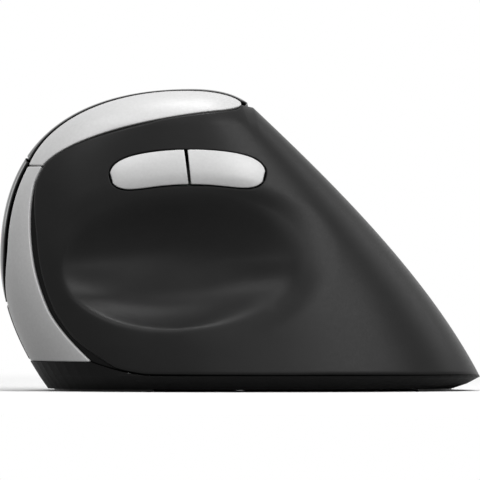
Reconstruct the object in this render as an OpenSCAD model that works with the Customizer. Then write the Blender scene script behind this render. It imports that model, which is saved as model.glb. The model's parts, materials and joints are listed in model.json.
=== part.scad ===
// Vertical ergonomic mouse for the right hand, wireless.
// Front of the mouse toward -X, thumb side toward -Y, up is +Z, resting on its feet at Z = 0.

/* [Body] */
// overall length from the front to the tail tip
body_l = 120; // [116:0.5:124]
// height of the ridge above the table
body_h = 75.4; // [73:0.2:79]
// how far the thumb side reaches from the ridge at the base
thumb_reach = 34; // [32:0.5:37]
// how far the finger side reaches from the ridge at the base
finger_reach = 39; // [37:0.5:42]
// lean of the thumb face from upright, degrees
thumb_tilt = 18.7; // [18:0.1:19.4]
// lean of the finger face from upright, degrees
finger_tilt = 25.2; // [24.4:0.1:26]
// height of the foremost point
nose_z = 33; // [28:0.5:38]
// place of the highest point along the length
apex_x = -12; // [-14:0.5:-10]
// how far below the ridge the top starts to round over
crown_drop = 9.4; // [8:0.2:11]
// fullness of the outline seen from above
plan_power = 2.2; // [2.1:0.05:2.4]
// wall of the shells
wall = 1.8; // [1.4:0.1:2]
// gap between fixed shells
seam = 0.3; // [0.2:0.05:0.5]

/* [Thumb scoop] */
// depth of the thumb scoop
scoop_depth = 9; // [5:0.5:10]
// half length of the scoop
scoop_a = 29; // [26:0.5:31]
// reach of the scoop above its middle
scoop_up = 16; // [12:0.5:16.5]
// reach of the scoop below its middle
scoop_down = 16.5; // [14:0.5:18]
// how far below the ridge the middle of the scoop lies
scoop_drop = 43.4; // [41.5:0.1:45.5]

/* [Trim] */
// how far below the ridge the seam between the two trims lies
seam_drop = 19.1; // [17.5:0.1:21]
// width of the front trim at its narrowest, seen from the side
trim_w = 5.6; // [4.5:0.1:6.5]

/* [Thumb buttons] */
// length of the pair of thumb buttons
thumb_pair_l = 38.1; // [34:0.1:40]
// height of the thumb buttons
thumb_pair_h = 8.75; // [7.5:0.05:9.5]
// how far the buttons bulge out of the shell
thumb_bulge = 1.2; // [0.6:0.1:1.6]
// gap round each thumb button
thumb_gap = 0.45; // [0.4:0.05:0.6]
// diameter of the two hinge pins of the thumb buttons
thumb_pin_d = 1.6; // [1.2:0.1:1.8]

/* [Click plates] */
// how far below the ridge the line between the plates starts at the front
split_drop = 16.8; // [15.5:0.1:18]
// drop of that line per millimetre toward the rear
split_fall = 0.159; // [0.14:0.005:0.18]
// gap round the click plates
click_gap = 0.5; // [0.4:0.05:0.7]
// diameter of the hinge pin of the click plates
click_pin_d = 2.2; // [1.8:0.1:2.6]

/* [Scroll wheel] */
// diameter over the tyre
wheel_d = 23; // [21:0.5:24]
// width of the wheel
wheel_w = 7; // [5.5:0.5:7.5]
// height of the wheel above the plates
wheel_out = 3.5; // [2.5:0.1:4]
// diameter of the axle
axle_d = 2.4; // [2:0.1:3]
// thickness of the tyre
tyre_t = 1.6; // [1.2:0.1:2.2]

/* [Electrics] */
// diameter of one AAA cell
cell_d = 10.5; // [10:0.1:10.5]
// length of one AAA cell
cell_l = 44.5; // [43.5:0.1:44.5]
// thickness of the circuit boards
board_t = 1.2; // [0.8:0.1:1.4]
// width of the stowed receiver
receiver_w = 15; // [13:0.5:16]
// thickness of the stowed receiver
receiver_t = 6.5; // [5.5:0.1:7]

/* [Base] */
// height of the rim of the base
rim_z = 4; // [3.6:0.1:4.4]
// thickness of the floor of the base
floor_t = 2.6; // [2.4:0.1:2.8]
// height of the feet
foot_h = 0.6; // [0.4:0.05:0.8]
// thickness of the battery door
door_t = 1.4; // [1.2:0.1:1.6]
// diameter of the case screws
screw_d = 2.2; // [1.8:0.1:2.6]

/* [Hidden] */
$fn = 32;
front_x = -body_l / 2;
tail_x = body_l / 2;
ridge_y = (thumb_reach - finger_reach) / 2;
under_lean = 0.9;
flare = 1.5;
flare_h = 5;
tail_z = 3.5;
crown_rear = [apex_x + 15, body_h - 4.4];
crown_z = body_h - crown_drop;
scoop_z = body_h - scoop_drop;
trim_seam_z = body_h - seam_drop;
split_front_z = body_h - split_drop;

// Outline of the body seen from the side, as curves from the base up to the apex.
function bez(p, t) = pow(1 - t, 3) * p[0] + 3 * t * pow(1 - t, 2) * p[1]
  + 3 * t * t * (1 - t) * p[2] + t * t * t * p[3];
function run(p, n, first = 0) = [for (i = [first:n]) bez(p, i / n)];
function turned(l) = [for (i = [len(l) - 1:-1:0]) l[i]];
front_low = [[front_x + 12, foot_h], [front_x + 6.6, 7.8], [front_x, nose_z - 13], [front_x, nose_z]];
front_high = [[front_x, nose_z], [front_x, nose_z + 0.66 * (body_h - nose_z)],
  [apex_x + 0.66 * (front_x - apex_x), body_h], [apex_x, body_h]];
back_low = [[tail_x - 6.7, foot_h], [tail_x - 4, 1.3], [tail_x - 2, 2.2], [tail_x, tail_z]];
back_slope = [[tail_x, tail_z], [tail_x - 12.9, tail_z + 24.9], crown_rear + [20.4, -19.2], crown_rear];
back_crown = [crown_rear, crown_rear + [-2.9, 2.7], [apex_x + 7.5, body_h], [apex_x, body_h]];
front_line = concat(run(front_low, 16), run(front_high, 32, 1));
back_line = concat(run(back_low, 6), run(back_slope, 28, 1), run(back_crown, 16, 1));
front_table = [for (p = front_line) [p[1], p[0]]];
back_table = [for (p = back_line) [p[1], p[0]]];
function x_front(z) = lookup(z, front_table);
function x_back(z) = lookup(z, back_table);

// Level sections of the body: the ridge divides each one in a thumb half and a finger half.
function x_mid(z) = apex_x * z / body_h;
function cap(z) = z <= crown_z ? 1 : sqrt(max(0, 1 - pow((z - crown_z) / (body_h - crown_z), 2)));
function thumb_depth(z) = z < rim_z ? thumb_reach - under_lean * (rim_z - z)
  : cap(z) * (thumb_reach - tan(thumb_tilt) * (z - rim_z));
function finger_depth(z) = z < rim_z ? finger_reach - under_lean * (rim_z - z)
  : cap(z) * (finger_reach - flare * (1 - exp((rim_z - z) / flare_h)) - tan(finger_tilt) * (z - rim_z));
function along(x, z) = let (m = x_mid(z)) abs(x - m) / max(0.001, x < m ? m - x_front(z) : x_back(z) - m);
function share(x, z) = pow(max(0, 1 - pow(along(x, z), plan_power)), 1 / plan_power);
function ease(t) = let (c = min(1, max(0, t))) c * c * (3 - 2 * c);

// Thumb scoop: a dish with a crisp edge at the front and below, and a soft one behind and above.
// Its lower wall is steeper than the rest.
scoop_x = apex_x - 3.5;
function scoop(x, z) =
  let (zc = scoop_z + 0.04 * (x - scoop_x))
  let (dx = (x - scoop_x) / scoop_a)
  let (dz = (z - zc) / (z > zc ? scoop_up : scoop_down))
  let (w = 1 - dx * dx - dz * dz)
  let (e = 0.06 + 0.3 * ease(dx) + 0.2 * ease(dz))
  let (s = (w + sqrt(w * w + e * e)) / 2)
  scoop_depth * ease((w + 1) / 0.8) * s * (1 + 0.6 * ease(-2 * dz) * (1 - s));
function thumb_y(x, z) = ridge_y - thumb_depth(z) * share(x, z) + scoop(x, z);
function finger_y(x, z) = ridge_y + finger_depth(z) * share(x, z);
function on_thumb(p) = [p[0], min(thumb_y(p[0], p[1]), ridge_y - seam / 2), p[1]];
function on_finger(p) = [p[0], max(finger_y(p[0], p[1]), ridge_y + seam / 2), p[1]];

// Zero on the skin of the body, less inside; its slope gives the direction square to the skin.
function body_f(x, y, z) = z >= body_h ? 1 :
  let (v = y < ridge_y ? (ridge_y - y + scoop(x, z)) / max(0.001, thumb_depth(z))
    : (y - ridge_y) / max(0.001, finger_depth(z)))
  pow(along(x, z), plan_power) + pow(max(0, v), plan_power) - 1;
function square_to(p) =
  let (h = 0.04)
  let (z = min(p[2], body_h - 2 * h))
  let (g = [body_f(p[0] + h, p[1], z) - body_f(p[0] - h, p[1], z),
    body_f(p[0], p[1] + h, z) - body_f(p[0], p[1] - h, z),
    body_f(p[0], p[1], z + h) - body_f(p[0], p[1], z - h)])
  g / norm(g);

// Top edge of the base; the shells stand on it.
rise_x = [-37, -22];
function rim_top(x) = rim_z + 3.4 * pow(min(1, max(0, (rise_x[1] - x) / (rise_x[1] - rise_x[0]))), 1.6);
function shell_foot(x) = rim_top(x) + seam;

// Skins: a grid of points on the body, thickened inward. Side -1 stays on the
// thumb half, 1 on the finger half.
function inner_point(p, t, side) =
  let (q = p - t * square_to(p))
  [q[0], side < 0 ? min(q[1], ridge_y - seam / 2) : side > 0 ? max(q[1], ridge_y + seam / 2) : q[1],
    max(q[2], shell_foot(q[0]))];
function skin_faces(ni, nj, ring) =
  let (n = ni * nj)
  let (e = nj - 1)
  concat(
    [for (i = [0:(ring ? ni : ni - 1) - 1], j = [0:nj - 2])
      let (a = i * nj + j)
      let (d = ((i + 1) % ni) * nj + j)
      each [[a, a + 1, d + 1], [a, d + 1, d], [n + a, n + d + 1, n + a + 1], [n + a, n + d, n + d + 1]]],
    [for (i = [0:(ring ? ni : ni - 1) - 1])
      let (a = i * nj)
      let (d = ((i + 1) % ni) * nj)
      each [[a, d, n + d], [a, n + d, n + a], [a + e, n + a + e, n + d + e], [a + e, n + d + e, d + e]]],
    ring ? [] : [for (j = [0:nj - 2])
      let (l = (ni - 1) * nj + j)
      each [[j, n + j, n + j + 1], [j, n + j + 1, j + 1], [l, l + 1, n + l + 1], [l, n + l + 1, n + l]]]);
module skin(g, t, side, ring = false, flip = false) {
  inner = [for (r = g) [for (p = r) inner_point(p, t, side)]];
  faces = skin_faces(len(g), len(g[0]), ring);
  polyhedron(
    points = concat([for (r = g) each r], [for (r = inner) each r]),
    faces = flip ? [for (f = faces) [f[0], f[2], f[1]]] : faces,
    convexity = 8);
}

// Trim lines on the thumb side, seen from the side.
function trim_in_x(z) = x_front(z) + trim_w + 0.15 * max(0, 52 - z)
  + 3.3 * pow(max(0, (20 - z) / 12.6), 1.5);
function trim_out_x(z) = x_front(z) + 0.2 + 1.6 * ease((z - 20) / 16);
trim_foot_z = rim_z + 3.4;
top_in = [[trim_in_x(trim_seam_z), trim_seam_z], [front_x + 17.5, body_h - 12],
  [apex_x - 9.3, body_h - 7], [apex_x + 8.4, body_h - 5.3]];
top_in_nose = [top_in[3], top_in[3] + [2.2, 0.2],
  [apex_x + 12.35, body_h - 4.9], [apex_x + 12.4, body_h - 3.8]];
top_out = [[trim_out_x(trim_seam_z), trim_seam_z], [front_x + 12, body_h - 7],
  [apex_x - 19, body_h + 0.1], [apex_x, body_h - 0.45]];
top_out_nose = [top_out[3], [apex_x + 7.6, body_h - 0.5], [apex_x + 12.4, body_h - 2.5], top_in_nose[3]];
function top_in_line(n, m) = concat(run(top_in, n), run(top_in_nose, m, 1));
function top_out_line(n, m) = concat(run(top_out, n), run(top_out_nose, m, 1));
function front_in(z) = [trim_in_x(z), z];
function front_out(z) = [trim_out_x(z), z];

// Slot of the thumb buttons: a rounded bar bent along an arc.
pair_x = apex_x - 1;
pair_z = body_h - 19.6;
pair_bend = 71;
function arch(x) = pair_z - pow(x - pair_x, 2) / (2 * pair_bend) + 0.012 * (x - pair_x);
function signed_pow(v, k) = sign(v) * pow(abs(v), k);
function across_arch(x) = let (v = [(x - pair_x) / pair_bend - 0.012, 1]) v / norm(v);
function slot_point(a, grow) =
  let (x = pair_x + (thumb_pair_l / 2 + grow) * signed_pow(cos(a), 0.4))
  [x, arch(x)] + (thumb_pair_h / 2 + grow) * signed_pow(sin(a), 0.833) * across_arch(x);

// Thumb shell: rings from the slot out to its own edge.
tail_foot_x = x_back(shell_foot(tail_x));
back_top_z = body_h - 4;
function shell_bottom(t) =
  let (x = rise_x[0] + (tail_foot_x - rise_x[0]) * sin(90 * pow(t, 1.15)))
  [x, shell_foot(x)];
function shell_back(t) =
  let (z = shell_foot(tail_x) + (back_top_z - shell_foot(tail_x)) * t)
  [x_back(z), z];
function spans(a, b, n) = [for (i = [0:n - 1]) a + (b - a) * i / n];
module thumb_shell() {
  edge = concat(
    [for (i = [0:23]) shell_bottom(i / 24)],
    [for (i = [0:17]) shell_back(i / 18)],
    [for (p = turned(concat(run(top_in, 15, 1), run(top_in_nose, 5, 1)))) p],
    [for (i = [0:15]) front_in(trim_seam_z + (trim_foot_z + seam - trim_seam_z) * i / 16)]);
  angles = concat(spans(218, 345, 24), spans(345, 392, 18), spans(392, 515, 20), spans(515, 578, 16));
  rows = [for (i = [0:len(edge) - 1])
    let (a = slot_point(angles[i], thumb_gap))
    [for (j = [0:15])
      let (t = j / 15)
      let (s = 0.35 * t + 0.65 * (1 - pow(1 - t, 2)))
      on_thumb(a + (edge[i] - a) * s)]];
  color("#26272a") skin(rows, wall, -1, ring = true);
}

// Silver trims.
function trim_strip(la, lb, n) = [for (i = [0:len(la) - 1])
  let (w = max(0.6, norm(lb[i] - la[i])))
  let (g = min(0.3, seam / w))
  [for (j = [0:n]) on_thumb(la[i] + (lb[i] - la[i]) * (g + (1 - 1.4 * g) * j / n))]];
module top_trim() {
  la = top_in_line(24, 6);
  lb = top_out_line(24, 6);
  last = len(la) - 1;
  rows = trim_strip([for (i = [0:last - 1]) la[i]], [for (i = [0:last - 1]) lb[i]], 6);
  color("#c9cbce") skin(rows, 1.5, -1);
}
module front_trim() {
  zs = [for (i = [0:24]) trim_seam_z - seam + (trim_foot_z + seam - trim_seam_z + seam) * i / 24];
  rows = trim_strip([for (z = zs) front_in(z)], [for (z = zs) front_out(z)], 6);
  color("#c9cbce") skin(rows, 1.5, -1);
}

// Finger side: the click plates, the bezel of the wheel and the palm shell.
top_line = concat(run(front_high, 32), turned(concat(run(back_slope, 28), run(back_crown, 15, 1))));
function top_z(x) = lookup(x, top_line);
out_line = concat(run(top_out, 24), run(top_out_nose, 8, 1));
function out_z(x) = lookup(x, out_line);
function raw_thumb(p) = [p[0], thumb_y(p[0], p[1]), p[1]];
function raw_finger(p) = [p[0], finger_y(p[0], p[1]), p[1]];
function mix(a, b, t) = a + (b - a) * t;
wheel_x = apex_x - 18;
bezel_x = apex_x - 14;
bezel_a = 23;
rear_top = [apex_x + 14.2, top_z(apex_x + 14.2)];
rear_low = [apex_x + 22, 26];
low_front_z = 22;
function split_z(x) = split_front_z - split_fall * (x - apex_x + 42);
function bezel_half(x) = 5.6 * pow(max(0, 1 - pow(abs(x - bezel_x) / bezel_a, 2.6)), 1 / 2.2);
function rear_x(z) = mix(rear_low[0], rear_top[0],
  (z - rear_low[1]) / (rear_top[1] - rear_low[1])) - click_gap / 2;
split_rear_x = rear_x(body_h - 25.4);
split_tip_x = x_front(split_front_z) + 0.25;
function fore(t) = sin(90 * pow(t, 0.9));
function split_point(t, side) = let (x = mix(split_rear_x, split_tip_x, fore(t)))
  [x, split_z(x) + side * (click_gap / 2 + bezel_half(x))];
module left_plate() {
  n = 30;
  rows = [for (i = [0:n])
    let (xr = mix(rear_top[0] - click_gap / 2, x_front(split_front_z + 0.4), fore(i / n)))
    let (xe = mix(apex_x + 12, trim_out_x(trim_seam_z), fore(i / n)))
    let (ridge = [xr, top_z(xr) - 0.01])
    let (edge = [xe, (out_z(xe) + top_z(xe)) / 2])
    let (split = split_point(i / n, 1))
    concat(
      [for (j = [0:2]) raw_thumb(mix(ridge, edge, pow(1 - j / 3, 2)))],
      [for (j = [0:8]) raw_finger(mix(ridge, split, pow(j / 8, 1.8)))])];
  color("#1b1c1e") skin(rows, wall, 0);
}
function low_point(t) = let (x = mix(rear_x(rear_low[1]), x_front(low_front_z), fore(t)))
  [x, mix(low_front_z, rear_low[1], (x - front_x) / (rear_low[0] - front_x))];
function part_x(p) = (p[0] - x_front(p[1])) / (rear_x(p[1]) - x_front(p[1]));
function front_lap(z, k) = [x_front(z) + 0.01 + k * k * 0.5 * (trim_out_x(z) - x_front(z)), z];
module right_plate() {
  n = 26;
  m = 9;
  finger = [for (i = [0:n])
    let (a = split_point(i / n, -1))
    let (b = low_point(i / n))
    [for (j = [0:m])
      let (z = mix(a[1], b[1], j / m))
      let (f = max(0, mix(part_x(a), part_x(b), j / m)))
      raw_finger([x_front(z) + 0.01 + f * (rear_x(z) - x_front(z)), z])]];
  last = finger[n];
  thumb = [for (i = [1:3])
    [for (j = [0:m])
      let (z = mix(last[0][2] - 1.1 * i / 3, last[m][2], j / m))
      raw_thumb(front_lap(z, i / 3))]];
  color("#1b1c1e") skin(concat(finger, thumb), wall, 0);
}
module finger_frame() translate(finger_anchor) rotate([0, 0, finger_yaw]) rotate([finger_tilt - 90, 0,
  0]) children();
module block(x0, x1, y0, y1, z0, z1) translate([x0, y0, z0]) cube([x1 - x0, y1 - y0, z1 - z0]);
module rod(x, z, y0, y1, d) translate([x, y0, z]) rotate([-90, 0, 0]) cylinder(d = d, h = y1 - y0);
module post(x, y, z0, z1, d) translate([x, y, z0]) cylinder(d = d, h = z1 - z0);
module pill(x, y, z0, z1, l, w) {
  block(x - (l - w) / 2, x + (l - w) / 2, y - w / 2, y + w / 2, z0, z1);
  post(x - (l - w) / 2, y, z0, z1, w);
  post(x + (l - w) / 2, y, z0, z1, w);
}
finger_yaw = 8;
finger_anchor = raw_finger([wheel_x, split_z(wheel_x)]);
hub_z = wheel_out - wheel_d / 2;
board_z = -12;
speed_x = 17;
speed_gap = 0.3;
module wheel_bezel() {
  rows = [for (i = [0:28])
    let (x = bezel_x + 0.91 * bezel_a * (1 - 2 * i / 28))
    let (h = max(0.4, bezel_half(bezel_x + (x - bezel_x) / 0.94) - click_gap / 2))
    [for (j = [0:5]) raw_finger([x, split_z(x) + h * (1 - 2 * j / 5)])]];
  color("#303236")
  difference() {
    skin(rows, wall, 0);
    finger_frame() {
      pill(0, 0, -9, 5, 2 * sqrt(pow(wheel_d / 2, 2) - pow(hub_z + 3.2, 2)) + 2, wheel_w + 1);
      pill(speed_x, 0, -9, 5, 7 + 2 * speed_gap, 4 + 2 * speed_gap);
    }
  }
}
function width_part(p) = (p[0] - x_front(p[1])) / (x_back(p[1]) - x_front(p[1]));
module palm_shell() {
  edge_top = rear_top[1] - 1.2;
  zs = [for (i = [0:17]) mix(edge_top, rear_low[1] - click_gap, i / 17)];
  inner_back = [for (z = zs) [rear_x(z) + click_gap, z]];
  outer_back = [for (i = [0:17]) let (z = mix(edge_top, shell_foot(tail_x), pow(i / 17, 1.1))) [x_back(z),
    z]];
  foot_tip_x = x_front(trim_foot_z + seam) + 0.02;
  low_xs = concat(
    [for (i = [1:10]) mix(tail_foot_x, rise_x[1], pow(i / 10, 1.3))],
    [for (i = [1:6]) mix(rise_x[1], rise_x[0], i / 6)],
    [for (i = [1:5]) mix(rise_x[0], foot_tip_x, i / 5)]);
  outer_low = [for (x = low_xs) [x, shell_foot(x) + (x < -20 ? 0.1 : 0)]];
  inner_low = [for (i = [1:21])
    let (p = low_point(i / 21))
    [p[0] + click_gap * (1 - i / 21), p[1] - click_gap - 0.6 * i / 21]];
  inner = concat(inner_back, inner_low);
  outer = concat(outer_back, outer_low);
  rows = [for (i = [0:len(inner) - 1])
    [for (j = [0:9])
      let (t = j / 9)
      let (s = 0.3 * t + 0.7 * (1 - pow(1 - t, 2)))
      let (z = mix(inner[i][1], outer[i][1], s))
      let (f = mix(width_part(inner[i]), width_part(outer[i]), s))
      on_finger([mix(x_front(z), x_back(z), f), z])]];
  color("#26272a") skin(rows, wall, 1);
}

// Thumb buttons, bulging out of their slot.
function pair_half(x) = thumb_pair_h / 2 * pow(max(0, 1 - pow(abs(x - pair_x) / (thumb_pair_l / 2), 5)),
  0.4167);
function button_point(x, q) =
  let (p = abs(x - pair_x) / (thumb_pair_l / 2))
  let (c = [x, arch(x)] + pair_half(x) * q * across_arch(x))
  [c[0], thumb_y(c[0], c[1]) - 0.2 - thumb_bulge * pow(1 - q * q, 0.7) * (1 - pow(p, 6)), c[1]];
function divide_x(q) = pair_x + 0.05 - 0.45 * q;
module thumb_button(end, side) {
  n = 16;
  m = 8;
  rows = [for (i = [0:n])
    [for (j = [0:m])
      let (q = 1 - 2 * j / m)
      button_point(mix(pair_x + end * 0.992 * thumb_pair_l / 2, divide_x(q) + side * 0.38,
        sin(90 * i / n)), q)]];
  down = 1.6 * [0, cos(thumb_tilt), -sin(thumb_tilt)];
  inner = [for (r = rows) [for (p = r) p + down]];
  faces = skin_faces(n + 1, m + 1, false);
  polyhedron(
    points = concat([for (r = rows) each r], [for (r = inner) each r]),
    faces = end > 0 ? faces : [for (f = faces) [f[0], f[2], f[1]]],
    convexity = 6);
}
module forward_button() color("#cfd1d4") thumb_button(-1, -1);
module back_button() color("#cfd1d4") thumb_button(1, 1);

// Works behind the thumb buttons, in a frame square to the thumb face.
thumb_anchor = [pair_x, thumb_y(pair_x, pair_z), pair_z];
function pin_x(s) = s < 0 ? 22 : 19.5;
pin_z = -7.4;
module thumb_frame() translate(thumb_anchor) rotate([90 - thumb_tilt, 0, 0]) children();
module lever(s) {
  px = pin_x(s);
  thumb_frame() {
    difference() {
      union() {
        rotate([90, 0, 0]) linear_extrude(4.4, center = true)
          polygon([for (p = [[2.5, -5], [2.5, -3.6], [px - 6.5, -3.6], [px - 3.5, -4.6], [px - 0.5, -6],
            [px - 1, -7.9],
            [px - 5, -6.2], [px - 7.5, -5]]) [s * p[0], p[1]]]);
        rod(s * px, pin_z, -2.6, 2.6, 3.2);
      }
      rod(s * px, pin_z, -5, 5, thumb_pin_d + 0.12);
    }
    post(s * 6, 0, -3.7, 0, 2);
    post(s * (px - 8), 0, -3.7, -0.5, 2);
  }
}
module forward_lever() color("#3a3c40") lever(-1);
module back_lever() color("#3a3c40") lever(1);
module thumb_pins()
  color("#b9bcc2") thumb_frame() for (s = [-1, 1]) rod(s * pin_x(s), pin_z, -4.3, 4.3, thumb_pin_d);
module thumb_tact(s) {
  thumb_frame() difference() {
    block(s * 6 - 3, s * 6 + 3, -3, 3, -9, -6.8);
    post(s * 6, 0, -8.85, -6, 3.3);
  }
}
module forward_switch() color("#202124") thumb_tact(-1);
module back_switch() color("#202124") thumb_tact(1);
module forward_plunger() color("#e8e4d8") thumb_frame() post(-6, 0, -8.1, -5.02, 3);
module back_plunger() color("#e8e4d8") thumb_frame() post(6, 0, -8.1, -5.02, 3);
module thumb_board()
  color("#1f6b3a") thumb_frame() difference() {
    block(-16, 16, -4.6, 4.6, -9 - board_t, -9);
    for (s = [-1, 1]) post(s * 13.5, 0, -12, -8, 1.7);
  }
module thumb_bracket() {
  top = -9 - board_t;
  color("#3f4145") thumb_frame() difference() {
    union() {
      block(-27, 25, -5, 2.5, top - 1.4, top);
      for (s = [-1, 1]) {
        x = s * pin_x(s);
        for (y = [-4.3, 2.9]) {
          block(x - 1.6, x + 1.6, y, y + 1.4, top - 1.4, pin_z);
          rod(x, pin_z, y, y + 1.4, 3.2);
        }
        block(x - 1.6, x + 1.6, 2.4, 3, top - 1.4, top);
      }
      block(-27, -25, -3, 2.5, top - 0.1, -5.8);
      block(23, 25, -3, 2.5, top - 0.1, -8.6);
    }
    block(-20.3, -4, -6, -1.6, top - 2, top + 1);
    for (s = [-1, 1]) {
      rod(s * pin_x(s), pin_z, -5, 5, thumb_pin_d + 0.02);
      post(s * 13.5, 0, -14, -8, 1.5);
    }
  }
}

// Scroll wheel on its carriage, under the bezel.
module hub_rod(y0, y1, d) rod(0, hub_z, y0, y1, d);
module wheel_hub() {
  r = wheel_d / 2 - tyre_t;
  color("#2b2d31") finger_frame() difference() {
    hub_rod(-wheel_w / 2, wheel_w / 2, 2 * r);
    hub_rod(-wheel_w, wheel_w, axle_d + 0.02);
    for (s = [-1, 1]) translate([0, s * (wheel_w / 2 + 0.01), 0]) hub_rod(s > 0 ? -1.6 : 0, s > 0 ? 0
      : 1.6, 2 * r - 3);
    for (a = [0:30:330])
      translate([0, 0, hub_z]) rotate([0, a, 0]) rod(r - 3.6, 0, -wheel_w, wheel_w, 2);
  }
}
module wheel_tyre() {
  r = wheel_d / 2;
  color("#17181a") finger_frame() translate([0, 0, hub_z]) rotate([90, 0, 0])
    linear_extrude(wheel_w - 0.6, center = true) difference() {
      polygon([for (i = [0:143]) (r - (i % 4 == 3 ? 0.45 : 0)) * [cos(2.5 * i), sin(2.5 * i)]]);
      circle(r = r - tyre_t + 0.01, $fn = 64);
    }
}
module wheel_axle() color("#b9bcc2") finger_frame() hub_rod(-7.1, 7.1, axle_d);
module wheel_carriage() {
  color("#3f4145") finger_frame() difference() {
    union() {
      for (y = [-5.5, 4.1]) {
        block(-4, 4, y, y + 1.4, hub_z - 3.2, hub_z + 2.6);
        block(-15.5, -3.9, y, y + 1.4, hub_z - 1, hub_z + 1);
      }
      block(-15.5, -13.5, -5.5, 5.5, hub_z - 1, hub_z + 1);
    }
    hub_rod(-8, 8, axle_d + 0.1);
  }
}
module axle_posts() {
  color("#2d2f33") finger_frame() for (s = [-1, 1]) difference() {
    block(-3, 3, s * 6.4 - 0.8, s * 6.4 + 0.8, board_z, hub_z + 3);
    block(-axle_d / 2 - 0.05, axle_d / 2 + 0.05, s * 6.4 - 1, s * 6.4 + 1, hub_z - 0.6, hub_z + 4);
    rod(0, hub_z - 0.6, s * 6.4 - 1, s * 6.4 + 1, axle_d + 0.1);
  }
}
module wheel_emitter() color("#8fa3b8") finger_frame() {
  block(6, 10, -7, -4.8, board_z, hub_z + 1.5);
  post(8, -5.9, hub_z + 1.4, hub_z + 2.4, 2);
}
module wheel_detector() color("#26262a") finger_frame() {
  block(6, 10, 4.8, 7, board_z, hub_z + 1.5);
  post(8, 5.9, hub_z + 1.4, hub_z + 2.4, 2);
}
module wheel_switch()
  color("#202124") finger_frame() difference() {
    block(-16.6, -12.4, -2.1, 2.1, board_z, board_z + 1.8);
    post(-14.5, 0, board_z + 0.7, board_z + 3, 2.1);
  }
module wheel_plunger() color("#e8e4d8") finger_frame() post(-14.5, 0, board_z + 1.3, hub_z - 1.02, 2);

// Pointer speed button behind the wheel.
module speed_button()
  color("#2b2d31") finger_frame() {
    pill(speed_x, 0, -4, -0.4, 7, 4);
    pill(speed_x, 0, -4.8, -3.9, 8.6, 5.6);
    post(speed_x, 0, -8.6, -4.7, 3);
  }
module speed_switch()
  color("#202124") finger_frame() difference() {
    block(speed_x - 3, speed_x + 3, -3, 3, board_z, board_z + 2.8);
    post(speed_x, 0, board_z + 0.8, board_z + 4, 3.6);
  }
module speed_plunger() color("#e8e4d8") finger_frame() post(speed_x, 0, board_z + 1.5, -8.62, 3.4);

// Click switches, the arms under the plates and their hinge pin.
left_y = -10.6;
right_y = 15;
click_x = -5;
hinge_x = 33;
hinge_z = -12;
module click_switch(y) {
  finger_frame() difference() {
    block(-8.4, 4.4, y - 2.9, y + 2.9, board_z, board_z + 5.6);
    post(click_x, y, board_z + 2.6, board_z + 6, 2);
  }
}
module left_switch() color("#26262a") click_switch(left_y);
module right_switch() color("#26262a") click_switch(right_y);
module left_plunger() color("#d9d2b8") finger_frame() post(click_x, left_y, board_z + 3.8, board_z + 6.5,
  1.8);
module right_plunger() color("#d9d2b8") finger_frame() post(click_x, right_y, board_z + 3.8, board_z
  + 6.5, 1.8);
module arm(y, tops) {
  finger_frame() {
    difference() {
      union() {
        translate([0, y, 0]) rotate([90, 0, 0]) linear_extrude(3.6, center = true)
          polygon([[-8, -5.42], [-8, -3.8], [15, -3.9], [23, -5.8], [29, -8.6], [hinge_x, hinge_z + 2.2],
            [hinge_x - 2, hinge_z], [28, -10.8], [22, -7.8], [14, -5.6]]);
        rod(hinge_x, hinge_z, y - 3, y + 3, 4.8);
      }
      rod(hinge_x, hinge_z, y - 5, y + 5, click_pin_d + 0.12);
    }
    post(-2, y, -4, tops[0], 2.4);
    post(11, y, -4, tops[1], 2.4);
  }
}
module left_arm() color("#3a3c40") arm(left_y, [-1.3, -1.8]);
module right_arm() color("#3a3c40") arm(right_y, [-2.2, -2.1]);
module click_pin() color("#b9bcc2") finger_frame() rod(hinge_x, hinge_z, -15.5, 20.4, click_pin_d);

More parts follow.
